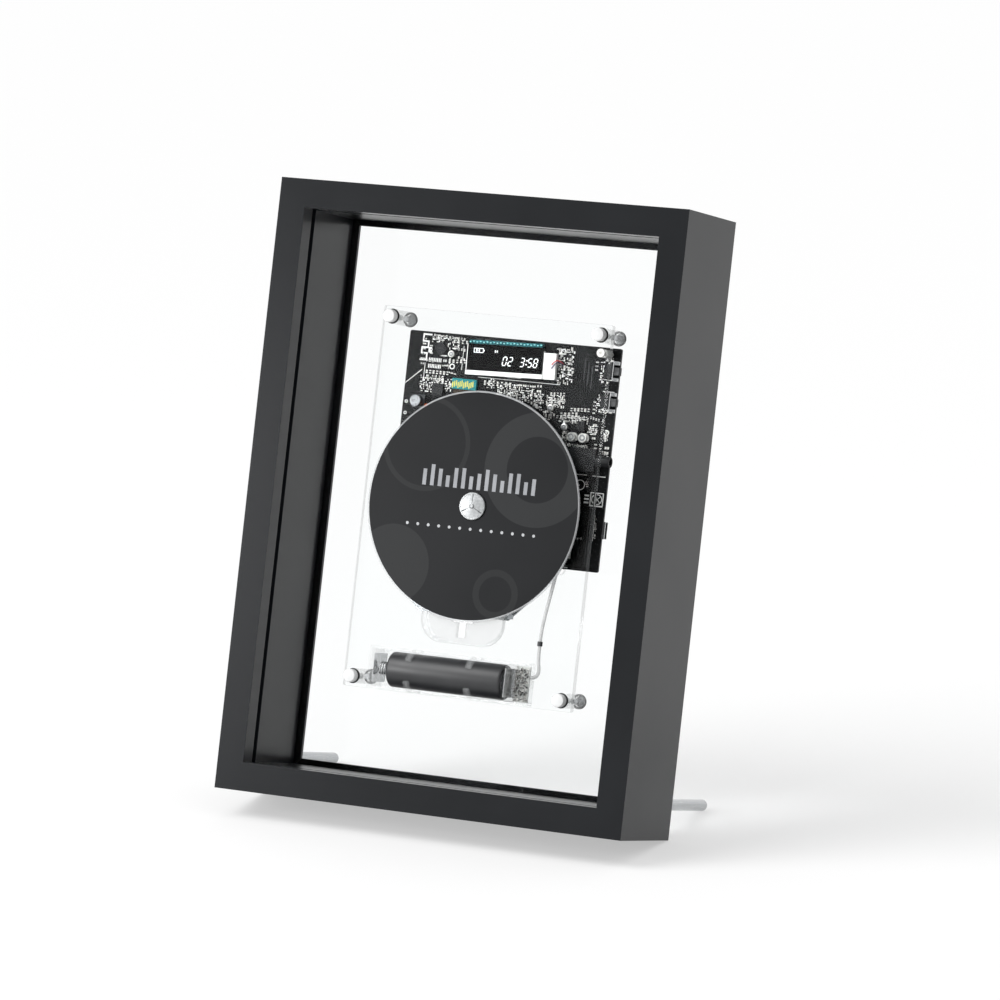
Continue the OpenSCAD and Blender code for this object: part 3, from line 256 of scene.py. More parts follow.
def piece(name, shells, body="frame", stands_for=(), edge=35):
    """One object from shells of (points, faces, finish), placed by its mesh, with every closed shell's faces
    turned outwards and edges over the given angle kept sharp."""
    finishes, points, faces, index, first = [], [], [], [], 0
    for (p, f), finish in shells:
        if finish not in finishes:
            finishes.append(finish)
        points.append(p)
        for group in f:
            faces += (group + first).tolist()
            index += [finishes.index(finish)] * len(group)
        first += len(p)
    mesh = bpy.data.meshes.new(name)
    mesh.from_pydata(leaned(np.vstack(points)).tolist(), [], faces)
    for finish in finishes:
        mesh.materials.append(finish)
    mesh.polygons.foreach_set("material_index", index)
    work = bmesh.new()
    work.from_mesh(mesh)
    bmesh.ops.recalc_face_normals(work, faces=work.faces)
    work.to_mesh(mesh)
    work.free()
    mesh.shade_smooth()
    mesh.set_sharp_from_angle(angle=math.radians(edge))
    made = bpy.data.objects.new(name, mesh)
    bpy.context.scene.collection.objects.link(made)
    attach(made, body)
    if stands_for:
        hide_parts(*stands_for)
    return made


def eased(node, width, finish, segments=2, edge_finish=None):
    """A copy of a CAD node with its edges eased by a small bevel, as a cutter or a file leaves them. Where
    two rails meet at a mitre they keep their square edges, so that the lacquer runs over the joint. A
    sheet's sawn edges can have a finish of their own."""
    source = frame["nodes"][node]
    mesh = source.data.copy()
    mesh.materials.clear()
    work = bmesh.new()
    work.from_mesh(mesh)
    bmesh.ops.remove_doubles(work, verts=work.verts, dist=1e-6)
    bmesh.ops.dissolve_limit(work, angle_limit=math.radians(0.4), verts=work.verts, edges=work.edges,
                             use_dissolve_boundaries=False)
    sharp = work.edges.layers.float.new("bevel_weight_edge")
    up, back = Vector((0, math.sin(LEAN), math.cos(LEAN))), Vector((0, math.cos(LEAN), -math.sin(LEAN)))
    for line in work.edges:
        mitred = any(abs(f.normal.x) > 0.5 and abs(f.normal.dot(up)) > 0.5 for f in line.link_faces)
        keep = "rail" in node and mitred
        line[sharp] = float(line.calc_face_angle(0) > math.radians(38) and not keep)
    for face in work.faces:
        face.material_index = int(edge_finish is not None and abs(face.normal.dot(back)) < 0.7)
    work.to_mesh(mesh)
    work.free()
    if "custom_normal" in mesh.attributes:
        mesh.attributes.remove(mesh.attributes["custom_normal"])
    for each in (finish, edge_finish) if edge_finish else (finish,):
        mesh.materials.append(each)
    mesh.shade_smooth()
    mesh.set_sharp_from_angle(angle=math.radians(38))
    made = bpy.data.objects.new(node + "_eased", mesh)
    bpy.context.scene.collection.objects.link(made)
    bevel = made.modifiers.new("eased edges", "BEVEL")
    bevel.width, bevel.segments, bevel.limit_method = width / 1000, segments, "WEIGHT"
    bevel.harden_normals = True
    bevel.material = 1 if edge_finish else -1
    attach(made, source["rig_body"])
    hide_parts(node)
    return made


# ---------------------------------------------------------------- finishes

def upright_mm(tree, centre=(0, 0, 0)):
    """Object coordinates turned back to the upright frame, in mm, from the given centre."""
    place = add(tree, "ShaderNodeTexCoord")
    c, s = math.cos(LEAN), math.sin(LEAN)
    back = (-centre[0], FRAME_D - SHIFT * c - centre[1], -SHIFT * s - centre[2])
    turn = add(tree, "ShaderNodeMapping", {"Vector": place.outputs["Object"], "Location": back,
                                           "Rotation": (LEAN, 0, 0), "Scale": (1000, 1000, 1000)})
    return turn.outputs[0]


def start(name, colour, roughness, metallic=0.0, ior=1.5, shine=1.0, **sockets):
    """A new material: itself, its tree and its Principled shader. Shine scales the mirror seen head on."""
    m = bpy.data.materials.new(name)
    m.use_nodes = True
    tree = m.node_tree
    tree.nodes.clear()
    shader = add(tree, "ShaderNodeBsdfPrincipled", {"Base Color": linear(colour), "Roughness": roughness,
                                                    "Metallic": metallic, "IOR": ior,
                                                    "Specular Tint": (shine, shine, shine, 1.0)})
    for key, value in sockets.items():
        shader.inputs[key.replace("_", " ")].default_value = value
    add(tree, "ShaderNodeOutputMaterial", {"Surface": shader.outputs[0]})
    return m, tree, shader


def mottle(tree, shader, where, size, dark, light, stretch=(1, 1, 1)):
    """Colour that wanders between two tones, in patches of the given size in mm."""
    at = add(tree, "ShaderNodeMapping", {"Vector": where, "Scale": stretch}).outputs[0]
    cloud = add(tree, "ShaderNodeTexNoise", {"Vector": at, "Scale": 1 / size, "Detail": 3.0})
    spread = add(tree, "ShaderNodeMapRange", {"Value": cloud.outputs[0], "From Min": 0.3, "From Max": 0.7})
    tone = add(tree, "ShaderNodeMix", {0: spread.outputs[0], 6: linear(dark), 7: linear(light)},
               data_type="RGBA")
    tree.links.new(tone.outputs[2], shader.inputs["Base Color"])
    return cloud.outputs[0]


def vary_roughness(tree, shader, value, low, high):
    """Roughness from low to high as the value goes from 0.3 to 0.7."""
    spread = add(tree, "ShaderNodeMapRange", {"Value": value, "From Min": 0.3, "From Max": 0.7,
                                              "To Min": low, "To Max": high})
    tree.links.new(spread.outputs[0], shader.inputs["Roughness"])


def relief(tree, shader, value, depth, strength=1.0):
    """Height of the given depth in mm, by bump."""
    bump = add(tree, "ShaderNodeBump", {"Height": value, "Distance": depth / 1000, "Strength": strength})
    tree.links.new(bump.outputs[0], shader.inputs["Normal"])


def lacquer():
    """Satin black lacquer sprayed on sanded wood: fine orange peel, slightly uneven sheen, clear coat."""
    m, tree, s = start("sprayed_black_lacquer", "#121417", 0.36, ior=1.42, shine=0.35, Coat_Weight=0.08,
                       Coat_Roughness=0.09)
    where = upright_mm(tree)
    cloud = mottle(tree, s, where, 60, "#111316", "#16181b")
    vary_roughness(tree, s, cloud, 0.29, 0.34)
    # peel is about 0.3 mm on the real finish, drawn at 0.9 mm so that it shows
    peel = add(tree, "ShaderNodeTexNoise", {"Vector": where, "Scale": 1 / 0.9, "Detail": 2.0})
    relief(tree, s, peel.outputs[0], 0.008, 0.4)
    return m


def clear(name, tint, low, high, ior=1.49, smudge=30.0, shine=1.0):
    """Clear plastic that lets lamps through, with faint smudges that only change its gloss."""
    m, tree, s = start(name, tint, low, ior=ior, shine=shine, Transmission_Weight=1.0)
    cloud = add(tree, "ShaderNodeTexNoise", {"Vector": upright_mm(tree), "Scale": 1 / smudge, "Detail": 2.0})
    vary_roughness(tree, s, cloud.outputs[0], low, high)
    path = add(tree, "ShaderNodeLightPath")
    bare = add(tree, "ShaderNodeBsdfTransparent", {"Color": linear(tint)})
    both = add(tree, "ShaderNodeMixShader", {0: path.outputs["Is Shadow Ray"], 1: s.outputs[0],
                                             2: bare.outputs[0]})
    out = next(n for n in tree.nodes if n.type == "OUTPUT_MATERIAL")
    tree.links.new(both.outputs[0], out.inputs["Surface"])
    return m


def thin_clear(name, colour, roughness, alpha, shine=0.3):
    """Clear plastic drawn as a veil of opacity alpha over what lies behind it, with faint smudges on its
    gloss. It stands for thin walls, sawn edges and rods, whose refraction is left out."""
    m, tree, s = start(name, colour, roughness, shine=shine, Alpha=alpha)
    cloud = add(tree, "ShaderNodeTexNoise", {"Vector": upright_mm(tree), "Scale": 1 / 6, "Detail": 2.0})
    vary_roughness(tree, s, cloud.outputs[0], roughness, roughness + 0.03)
    return m


def metal(name, dark, light, low, high, size, stretch=(1, 1, 1), depth=0.004):
    """Bare metal with brush lines or a grain of the given size, stretched along the work's direction."""
    m, tree, s = start(name, light, low, metallic=1.0)
    grain = mottle(tree, s, upright_mm(tree), size, dark, light, stretch=stretch)
    vary_roughness(tree, s, grain, low, high)
    relief(tree, s, grain, depth, 0.4)
    return m


def moulded(name, dark, light, low, high, size=0.8, depth=0.01, ior=1.5, patch=14.0, shine=1.0, alpha=1.0):
    """Moulded or printed plastic: colour that wanders slightly over patches and a fine spark-eroded grain."""
    m, tree, s = start(name, dark, low, ior=ior, shine=shine, Alpha=alpha)
    where = upright_mm(tree)
    cloud = mottle(tree, s, where, patch, dark, light)
    vary_roughness(tree, s, cloud, low, high)
    grain = add(tree, "ShaderNodeTexNoise", {"Vector": where, "Scale": 1 / size, "Detail": 3.0})
    relief(tree, s, grain.outputs[0], depth, 0.5)
    return m


def turned_metal(name, dark, light, low, high, centre, pitch):
    """Lathe-faced metal: rings of the tool's feed about the disc's axis, which spread the shine in a bow."""
    m, tree, s = start(name, light, low, metallic=1.0)
    where = upright_mm(tree, centre)
    grain = mottle(tree, s, where, 1.2, dark, light)
    vary_roughness(tree, s, grain, low, high)
    rings = add(tree, "ShaderNodeTexWave", {"Vector": where, "Scale": 0.31416 / pitch, "Distortion": 0.2},
                wave_type="RINGS", rings_direction="Y")
    relief(tree, s, rings.outputs["Fac"], 0.01, 0.6)
    return m


def solder_mask():
    """Black solder mask over etched copper: a satin film, with vias and copper fields faint under it."""
    m, tree, s = start("black_solder_mask", "#101112", 0.34, shine=0.12)
    where = upright_mm(tree)
    flat = add(tree, "ShaderNodeMapping", {"Vector": where, "Rotation": (math.radians(90), 0, 0)}).outputs[0]
    vias = add(tree, "ShaderNodeTexVoronoi", {"Vector": flat, "Scale": 0.42}, voronoi_dimensions="2D")
    dots = add(tree, "ShaderNodeMath", {0: vias.outputs["Distance"], 1: 0.10}, operation="LESS_THAN")
    pours = add(tree, "ShaderNodeTexVoronoi", {"Vector": flat, "Scale": 0.055}, voronoi_dimensions="2D",
                distance="CHEBYCHEV")
    faint = add(tree, "ShaderNodeMath", {0: pours.outputs["Distance"], 1: 0.10}, operation="MULTIPLY")
    seen = add(tree, "ShaderNodeMath", {0: dots.outputs[0], 1: 0.6}, operation="MULTIPLY")
    both = add(tree, "ShaderNodeMath", {0: faint.outputs[0], 1: seen.outputs[0]}, operation="MAXIMUM")
    tone = add(tree, "ShaderNodeMix", {0: both.outputs[0], 6: linear("#0d0e0f"), 7: linear("#4a4c4e")},
               data_type="RGBA")
    tree.links.new(tone.outputs[2], s.inputs["Base Color"])
    relief(tree, s, both.outputs[0], 0.02, 0.5)
    return m


def label_ink():
    """The disc's screen-printed label: charcoal ink with four plain rings, each lighter by a shade."""
    m, tree, s = start("screen_printed_label", "#1e1f20", 0.42, shine=0.25)
    where = upright_mm(tree, (0, DISC_FRONT, MIDDLE))
    grain = add(tree, "ShaderNodeTexNoise", {"Vector": where, "Scale": 1 / 40, "Detail": 1.0})
    tone = add(tree, "ShaderNodeMix", {0: grain.outputs[0], 6: linear("#17181a"), 7: linear("#1c1d1f")},
               data_type="RGBA").outputs[2]
    # each ring's middle from the disc's axis, its inner and outer radius and its shade
    for (x, z, inner, outer, shade) in ((34, 22, 17, 30, "#303132"), (-42, -34, 0, 21, "#2d2e2f"),
                                        (-30, 30, 22, 25, "#292a2b"), (18, -44, 9, 13, "#292a2b")):
        centred = add(tree, "ShaderNodeVectorMath", {0: where, 1: (x, 0, z)}, operation="SUBTRACT")
        flat = add(tree, "ShaderNodeVectorMath", {0: centred.outputs[0], 1: (1, 0, 1)}, operation="MULTIPLY")
        away = add(tree, "ShaderNodeVectorMath", {0: flat.outputs[0]}, operation="LENGTH").outputs["Value"]
        within = add(tree, "ShaderNodeMapRange", {"Value": away, "From Min": outer, "From Max": outer - 0.4})
        past = add(tree, "ShaderNodeMapRange", {"Value": away, "From Min": inner, "From Max": inner + 0.4})
        share = add(tree, "ShaderNodeMath", {0: within.outputs[0], 1: past.outputs[0]}, operation="MULTIPLY")
        share = add(tree, "ShaderNodeMath", {0: share.outputs[0], 1: 0.75}, operation="MULTIPLY")
        tone = add(tree, "ShaderNodeMix", {0: share.outputs[0], 6: tone, 7: linear(shade)},
                   data_type="RGBA").outputs[2]
    tree.links.new(tone, s.inputs["Base Color"])
    vary_roughness(tree, s, grain.outputs[0], 0.31, 0.37)
    return m


def data_mirror():
    """The disc's data side: aluminium under clear plastic, with the rainbow that its fine spiral splits from
    light painted into its colour.
    """
    m, tree, s = start("disc_data_side", "#c9ccd0", 0.22, metallic=1.0)
    s.inputs["Anisotropic"].default_value = 0.7
    where = upright_mm(tree, (0, DISC_BACK, MIDDLE))
    # painted rainbow sheen: the hue turns six times round the disc's axis, fixed in the base colour whatever
    # the lamps
    angle = add(tree, "ShaderNodeTexGradient", {"Vector": add(
        tree, "ShaderNodeMapping", {"Vector": where, "Rotation": (math.radians(90), 0, 0)}).outputs[0]},
        gradient_type="RADIAL")
    turns = add(tree, "ShaderNodeMath", {0: angle.outputs["Fac"], 1: 6.0}, operation="MULTIPLY")
    wheel = add(tree, "ShaderNodeMath", {0: turns.outputs[0], 1: 1.0}, operation="FRACT")
    painted_rainbow = add(tree, "ShaderNodeCombineColor", {0: wheel.outputs[0], 1: 0.16, 2: 0.72}, mode="HSV")
    tree.links.new(painted_rainbow.outputs[0], s.inputs["Base Color"])
    return m


def glowing(name, colour, strength):
    """Display segments lit from behind."""
    m, tree, s = start(name, colour, 0.4)
    s.inputs["Emission Color"].default_value = linear(colour)
    s.inputs["Emission Strength"].default_value = strength
    return m


make_camera()
make_studio()

FINISH = {
    "frame_black": lacquer(),
    "clear_acrylic": clear("cast_acrylic_sheet", "#fdfefe", 0.0, 0.015, shine=0.15),
    "clear_rod_acrylic": thin_clear("polished_acrylic_rod", "#f6f8f8", 0.04, 0.22, shine=1.0),
    "grey_acrylic": thin_clear("laser_cut_grey_acrylic", "#dadcdd", 0.12, 0.26),
    "holder_acrylic": thin_clear("moulded_clear_polycarbonate", "#eef1f2", 0.08, 0.11, shine=0.8),
    "bright_steel": metal("drawn_bright_steel", "#b0b2b4", "#bcbec0", 0.22, 0.28, 0.5, stretch=(1, 0.02, 1),
                          depth=0.002),
    "plated_steel": metal("nickel_plated_steel", "#b7b9ba", "#d2d3d4", 0.12, 0.20, 1.5),
    "chassis_steel": metal("zinc_plated_sheet", "#8d9195", "#a9adb0", 0.34, 0.46, 2.4, depth=0.01),
    "brass": metal("turned_brass", "#b08a3c", "#cfa850", 0.22, 0.32, 0.4),
    "black_rubber": moulded("black_nitrile_rubber", "#121212", "#1a1a1a", 0.62, 0.75, size=0.4, depth=0.02),
    "board_black": solder_mask(),
    "white_nylon": moulded("white_nylon", "#ecece8", "#f5f5f2", 0.38, 0.50, size=0.6),
    "display_black": moulded("black_display_glass", "#060707", "#0a0a0b", 0.06, 0.10, depth=0.001, patch=20,
                             shine=0.12),
    "diffuser_white": moulded("white_acrylic_light_guide", "#f2f3f1", "#fbfbfa", 0.35, 0.45, ior=1.49),
    "pin_teal": moulded("teal_contact_seal", "#084c52", "#0f6c73", 0.35, 0.5, size=0.5, patch=2.5, shine=0.4),
    "chip_black": moulded("black_epoxy_moulding", "#1a1b1c", "#252628", 0.45, 0.6, size=0.3, depth=0.015,
                          shine=0.3),
    "tin_silver": metal("tinned_copper", "#b9b9b6", "#d9d9d6", 0.26, 0.42, 0.8),
    "can_aluminium": metal("drawn_aluminium_can", "#5c5e60", "#8a8c8e", 0.34, 0.46, 1.1),
    "led_orange": moulded("orange_lamp_lens", "#e0642c", "#f0824a", 0.2, 0.3),
    "film_gold": moulded("dark_polyimide_film", "#2e2418", "#3a2d1c", 0.28, 0.38, patch=5, shine=0.4),
    "connector_teal": moulded("teal_connector_moulding", "#0b6e73", "#11858a", 0.38, 0.5, patch=4, shine=0.4),
    "parts_grey": moulded("ceramic_chip_bodies", "#8e8c88", "#b9b7b3", 0.4, 0.55, patch=1.3),
    "connector_white": moulded("white_connector_moulding", "#e9e9e4", "#f3f3ef", 0.36, 0.48, patch=3),
    "cell_black": moulded("black_shrink_sleeve", "#222325", "#2a2b2d", 0.34, 0.44, size=1.6, depth=0.04),
    "lead_grey": moulded("pale_translucent_pvc", "#cbcccd", "#d6d7d7", 0.40, 0.52, patch=6, shine=0.4,
                         alpha=0.55),
    "tie_grey": moulded("dark_heat_shrink", "#333436", "#3e3f42", 0.45, 0.6),
    "motor_steel": metal("plated_motor_can", "#8f9396", "#adb1b4", 0.24, 0.36, 1.2),
    "turntable_black": moulded("black_acetal", "#202123", "#2b2c2e", 0.35, 0.48),
    "hub_silver": turned_metal("lathe_faced_aluminium", "#8f9192", "#abadae", 0.36, 0.46,
                               (0, DISC_FRONT, MIDDLE), 0.35),
    "disc_print": label_ink(),
    "sled_grey": moulded("glass_filled_nylon", "#2f3134", "#3a3c40", 0.45, 0.6),
    "holder_board_white": moulded("white_solder_mask", "#dfe3df", "#eef0ee", 0.35, 0.5, patch=2),
}
SILK = moulded("white_silkscreen_ink", "#dcdddc", "#f2f2f0", 0.55, 0.7, size=0.3)
LABEL_LIGHT = moulded("light_grey_label_ink", "#85878b", "#96989c", 0.40, 0.5, patch=9)
LABEL_PALE = moulded("pale_label_ink", "#a9abad", "#bcbec0", 0.40, 0.5, patch=9)
TRACE = moulded("masked_copper_trace", "#2b2d2f", "#3a3c3e", 0.36, 0.46, patch=5)
YELLOW = moulded("yellow_contact_moulding", "#b8b23c", "#d9d35a", 0.4, 0.55, patch=1.5)
RESISTOR = moulded("black_resistor_film", "#202124", "#34363a", 0.35, 0.5, patch=1.0)
WINDING = moulded("grey_potted_winding", "#6f7274", "#8c8f91", 0.4, 0.55, size=0.3)
RED_LEAD = moulded("red_pvc_wire", "#b3242b", "#cf3a3f", 0.35, 0.5, patch=3)
PURPLE_LEAD = moulded("dark_purple_pvc_wire", "#2b2140", "#43345c", 0.35, 0.5, patch=3)
LIT = glowing("lit_display_segments", "#f4f6f8", 0.85)
PIN_LIGHT = moulded("pale_teal_solder_mask", "#5cc6cb", "#a2e4e6", 0.35, 0.5, size=0.3, patch=1.1)
DATA = data_mirror()
RIM = thin_clear("moulded_polycarbonate_rim", "#e2e4e6", 0.12, 0.34, shine=0.8)
ROD_CAP = thin_clear("polished_acrylic_cap", "#f6f7f7", 0.07, 0.82, shine=1.0)
EDGE = thin_clear("flame_polished_edge", "#b4b9ba", 0.30, 0.26)
VENT = metal("stamped_nickel_cap", "#b4b6b8", "#d0d2d3", 0.2, 0.3, 0.6)

for node in frame["nodes"].values():
    for held in node.material_slots:
        held.material = FINISH[held.material.name.split(".")[0]]

# ---------------------------------------------------------------- frame and clear plates
for rail in ("top_rail", "bottom_rail", "left_rail", "right_rail"):
    eased(rail, 0.35, FINISH["frame_black"], segments=3)
for plate, width, slot, edge_finish in (
        ("back_panel", 0.15, "clear_acrylic", EDGE), ("mounting_plate", 0.2, "clear_acrylic", EDGE),
        ("mechanism_cover", 0.2, "grey_acrylic", EDGE), ("main_board", 0.08, "board_black", None),
        ("light_guide", 0.15, "diffuser_white", None), ("display_glass", 0.1, "display_black", None),
        ("audio_jack", 0.25, "chip_black", None), ("switch_bodies", 0.15, "chip_black", None),
        ("power_plunger", 0.3, "turntable_black", None), ("pair_plunger", 0.3, "turntable_black", None),
        ("ribbon_connector", 0.15, "connector_teal", None),
        ("battery_connector", 0.2, "connector_white", None)):
    eased(plate, width, FINISH[slot], edge_finish=edge_finish)

# ---------------------------------------------------------------- standoffs: caps, rings and barrels
cap = [[0.1, 30.0], [2.7, 30.0], [3.25, 30.2], [3.5, 30.7], [3.5, 34.2], [3.3, 34.6], [1.5, 34.6],
       [1.5, 46.0], [0.1, 46.0]]
piece("standoff_cap_turnings", [(moved(turned(cap, 64), STANDOFFS), ROD_CAP)],
      stands_for=["standoff_caps"])
barrel = [[1.56, PLATE_BACK], [3.7, PLATE_BACK], [4.0, 40.4], [4.0, 58.4], [3.7, 58.8], [1.56, 58.8],
          [1.56, 53.0], [0.1, 52.9], [0.1, 47.1], [1.56, 47.0]]
piece("standoff_barrel_turnings",
      [(moved(turned(barrel, 64, ring=True), STANDOFFS), FINISH["clear_rod_acrylic"])],
      stands_for=["standoff_barrels"])
turn = np.linspace(0, 2 * math.pi, 20, endpoint=False)
# each rubber ring is a round bead: its middle's radius and place, then its half width and half depth
for side, r, y, half_r, half_y in (("front", 2.78, 35.3, 1.2, 0.7), ("rear", 3.4, 59.4, 0.58, 0.6)):
    bead = np.stack([r + half_r * np.cos(turn), y + half_y * np.sin(turn)], -1)
    piece(side + "_ring_mouldings", [(moved(turned(bead, 48, ring=True), STANDOFFS), FINISH["black_rubber"])],
          stands_for=[side + "_rings"], edge=60)


def button_head(y, rise, r, socket, stem_end, stem_r):
    """A button-head screw along y: its stem, a domed head and a hexagonal socket in it."""
    dome = [[r * math.cos(t), y + rise * math.sin(t)] for t in np.linspace(0.12, 1.15, 7)]
    rows = [[0.1, stem_end], [stem_r, stem_end], [stem_r, y], [r, y], *dome, [socket, y + rise * 0.97],
            [socket, y + rise * 0.97 - 0.75], [0.1, y + rise * 0.97 - 0.9]]
    return turned(rows, 48, hexed=(len(rows) - 3, len(rows) - 2))


piece("panel_button_screws", [(moved(button_head(PANEL_BACK, 1.6, 3.0, 1.25, 54.0, 1.5), STANDOFFS),
                               FINISH["bright_steel"])], stands_for=["panel_screws"])
piece("board_button_screws", [(moved(button_head(BOARD_BACK, 1.6, 2.2, 0.9, 44.0, 1.1), SPACERS),
                               FINISH["bright_steel"])], stands_for=["board_screws"])

# ---------------------------------------------------------------- disc
centre = [[0, 0, MIDDLE]]
ink = [[7.55, 31.02], [59.0, 31.02], [59.1, 31.1], [59.1, 31.6], [7.5, 31.6], [7.5, 31.1]]
data_side = [[7.5, 31.6], [59.1, 31.6], [59.1, 32.1], [58.9, 32.2], [7.7, 32.2], [7.5, 32.0]]
rim = [[59.1, 31.02], [59.7, 31.02], [60.0, 31.3], [60.0, 31.9], [59.7, 32.2], [59.1, 32.2]]
piece("disc_layers", [(moved(turned(ink, 160, ring=True), centre), FINISH["disc_print"]),
                      (moved(turned(data_side, 160, ring=True), centre), DATA),
                      (moved(turned(rim, 160, ring=True), centre), RIM)],
      body="disc", stands_for=["disc"])

# a plain level-meter row over the hub and a row of dots under it
BARS, DOTS = 15, 13
INK = 0.04
heights = 5.0 + 6.0 * np.abs(np.sin(np.arange(BARS) * 0.9 + 0.6))
bars = np.stack([np.linspace(-29, 33, BARS), np.full(BARS, DISC_FRONT), MIDDLE + 8.6 + heights / 2], -1)
bar_size = np.stack([np.full(BARS, 2.1), np.full(BARS, INK), heights], -1)
dots = np.stack([np.linspace(-36, 36, DOTS), np.full(DOTS, DISC_FRONT), np.full(DOTS, MIDDLE - 12.0)], -1)
dot = turned([[0.05, -0.02], [0.8, -0.02], [0.8, 0.01], [0.05, 0.01]], 20)
piece("disc_label_marks", [(boxes(bars, bar_size), LABEL_LIGHT), (moved(dot, dots), LABEL_PALE)], body="disc")

# ---------------------------------------------------------------- hub
cone = [[0.1, 28.9], [0.9, 28.9], [1.25, 29.1], [1.3, 29.5], [1.7, 29.55], [6.3, 30.0], [6.5, 29.9],
        [7.0, 29.95], [7.3, 30.3], [7.3, 31.0], [0.1, 31.0]]
hub_points, hub_faces = moved(turned(cone, 96), centre)
from_axis = np.hypot(hub_points[:, 0], hub_points[:, 2] - MIDDLE)
from_slot = (np.degrees(np.arctan2(hub_points[:, 2] - MIDDLE, hub_points[:, 0])) - 90 + 60) % 120 - 60
# three shallow slots part the face into equal sectors
hub_points[:, 1] += 0.22 * ((np.abs(from_slot) < 2) & (from_axis > 1.6) & (from_axis < 6.4))
piece("hub_turning", [((hub_points, hub_faces), FINISH["hub_silver"])], body="turntable",
      stands_for=["hub_cone"], edge=12)

# ---------------------------------------------------------------- display
TILT = math.radians(1.5)
SHOW = np.array([3.8, 0, 238.0])


def on_display(shell):
    """Turns a shape by the display's slight tilt about the display's middle."""
    points, faces = shell
    p = points - SHOW
    x = p[:, 0] * math.cos(TILT) - p[:, 2] * math.sin(TILT)
    z = p[:, 0] * math.sin(TILT) + p[:, 2] * math.cos(TILT)
    return np.stack([x, p[:, 1], z], -1) + SHOW, faces


# segments as [x, z, length in x, length in z] in a cell 2.5 wide and 4.6 high, in the order A to G
SEGMENTS = np.array([[0, 2.2, 1.5, 0.45], [1.0, 1.12, 0.45, 1.6], [1.0, -1.12, 0.45, 1.6],
                     [0, -2.2, 1.5, 0.45], [-1.0, -1.12, 0.45, 1.6], [-1.0, 1.12, 0.45, 1.6],
                     [0, 0, 1.4, 0.42]])
DIGITS = {"0": "012345", "2": "01634", "3": "01623", "5": "05623", "8": "0123456"}


def lit_marks(rows, x=0.0, z=0.0):
    """Lit marks on the display's glass: rows of [x, z, length in x, length in z], moved by x and z."""
    rows = np.asarray(rows, float)
    centres = np.stack([x + rows[:, 0], np.full(len(rows), GLASS_FRONT), z + rows[:, 1]], -1)
    return boxes(centres, np.stack([rows[:, 2], np.full(len(rows), INK), rows[:, 3]], -1))


def numeral(character, x, z):
    """One seven-segment numeral: its lit segments, each sheared right by 0.17 of its height."""
    points, faces = lit_marks(SEGMENTS[[int(c) for c in DIGITS[character]]], x, z)
    points[:, 0] += 0.17 * (points[:, 2] - z)
    return points, faces


row_z = 236.7
numerals = [numeral(c, x, row_z) for c, x in (("0", 3.9), ("2", 7.1), ("3", 13.9), ("5", 18.3), ("8", 21.4))]
colon = lit_marks([[16.5, row_z + 1.0, 0.6, 0.6], [16.2, row_z - 1.0, 0.6, 0.6]])
cell_icon = lit_marks([[-11.3, 242.6, 5.2, 0.28], [-11.3, 240.5, 5.2, 0.28], [-13.9, 241.55, 0.28, 2.4],
                       [-8.7, 241.55, 0.28, 2.4], [-12.4, 241.55, 0.7, 1.2], [-11.0, 241.55, 0.7, 1.2],
                       [-8.2, 241.55, 0.4, 0.9]])
small_icon = lit_marks([[-1.8, 241.5, 0.5, 1.1], [-0.7, 241.5, 0.5, 1.1]])
piece("display_segments", [(on_display(shell), LIT) for shell in numerals + [colon, cell_icon, small_icon]])
bright_strip = boxes([[-17.7, 44.3, 238.0]], [[0.35, 1.1, 13.6]])
PINS = 22
pad_z = 245.9 + 0.3 * (np.arange(PINS) % 2)
pads = np.stack([np.linspace(-16.3, 23.9, PINS), np.full(PINS, 43.7), pad_z], -1)
piece("display_edge_and_pads", [(on_display(bright_strip), FINISH["diffuser_white"]),
                                (on_display(boxes(pads, [0.8, 0.2, 0.6])), PIN_LIGHT),
                                (on_display(boxes([[3.8, 45.6, 246.0]], [41.6, 2.6, 1.9])),
                                 FINISH["pin_teal"])])

# ---------------------------------------------------------------- circuit board: parts, pads and marks


def on_board(x, z, y=BOARD_FRONT):
    """A place on the board from its middle."""
    return [BOARD_X + x, y, BOARD_Z + z]


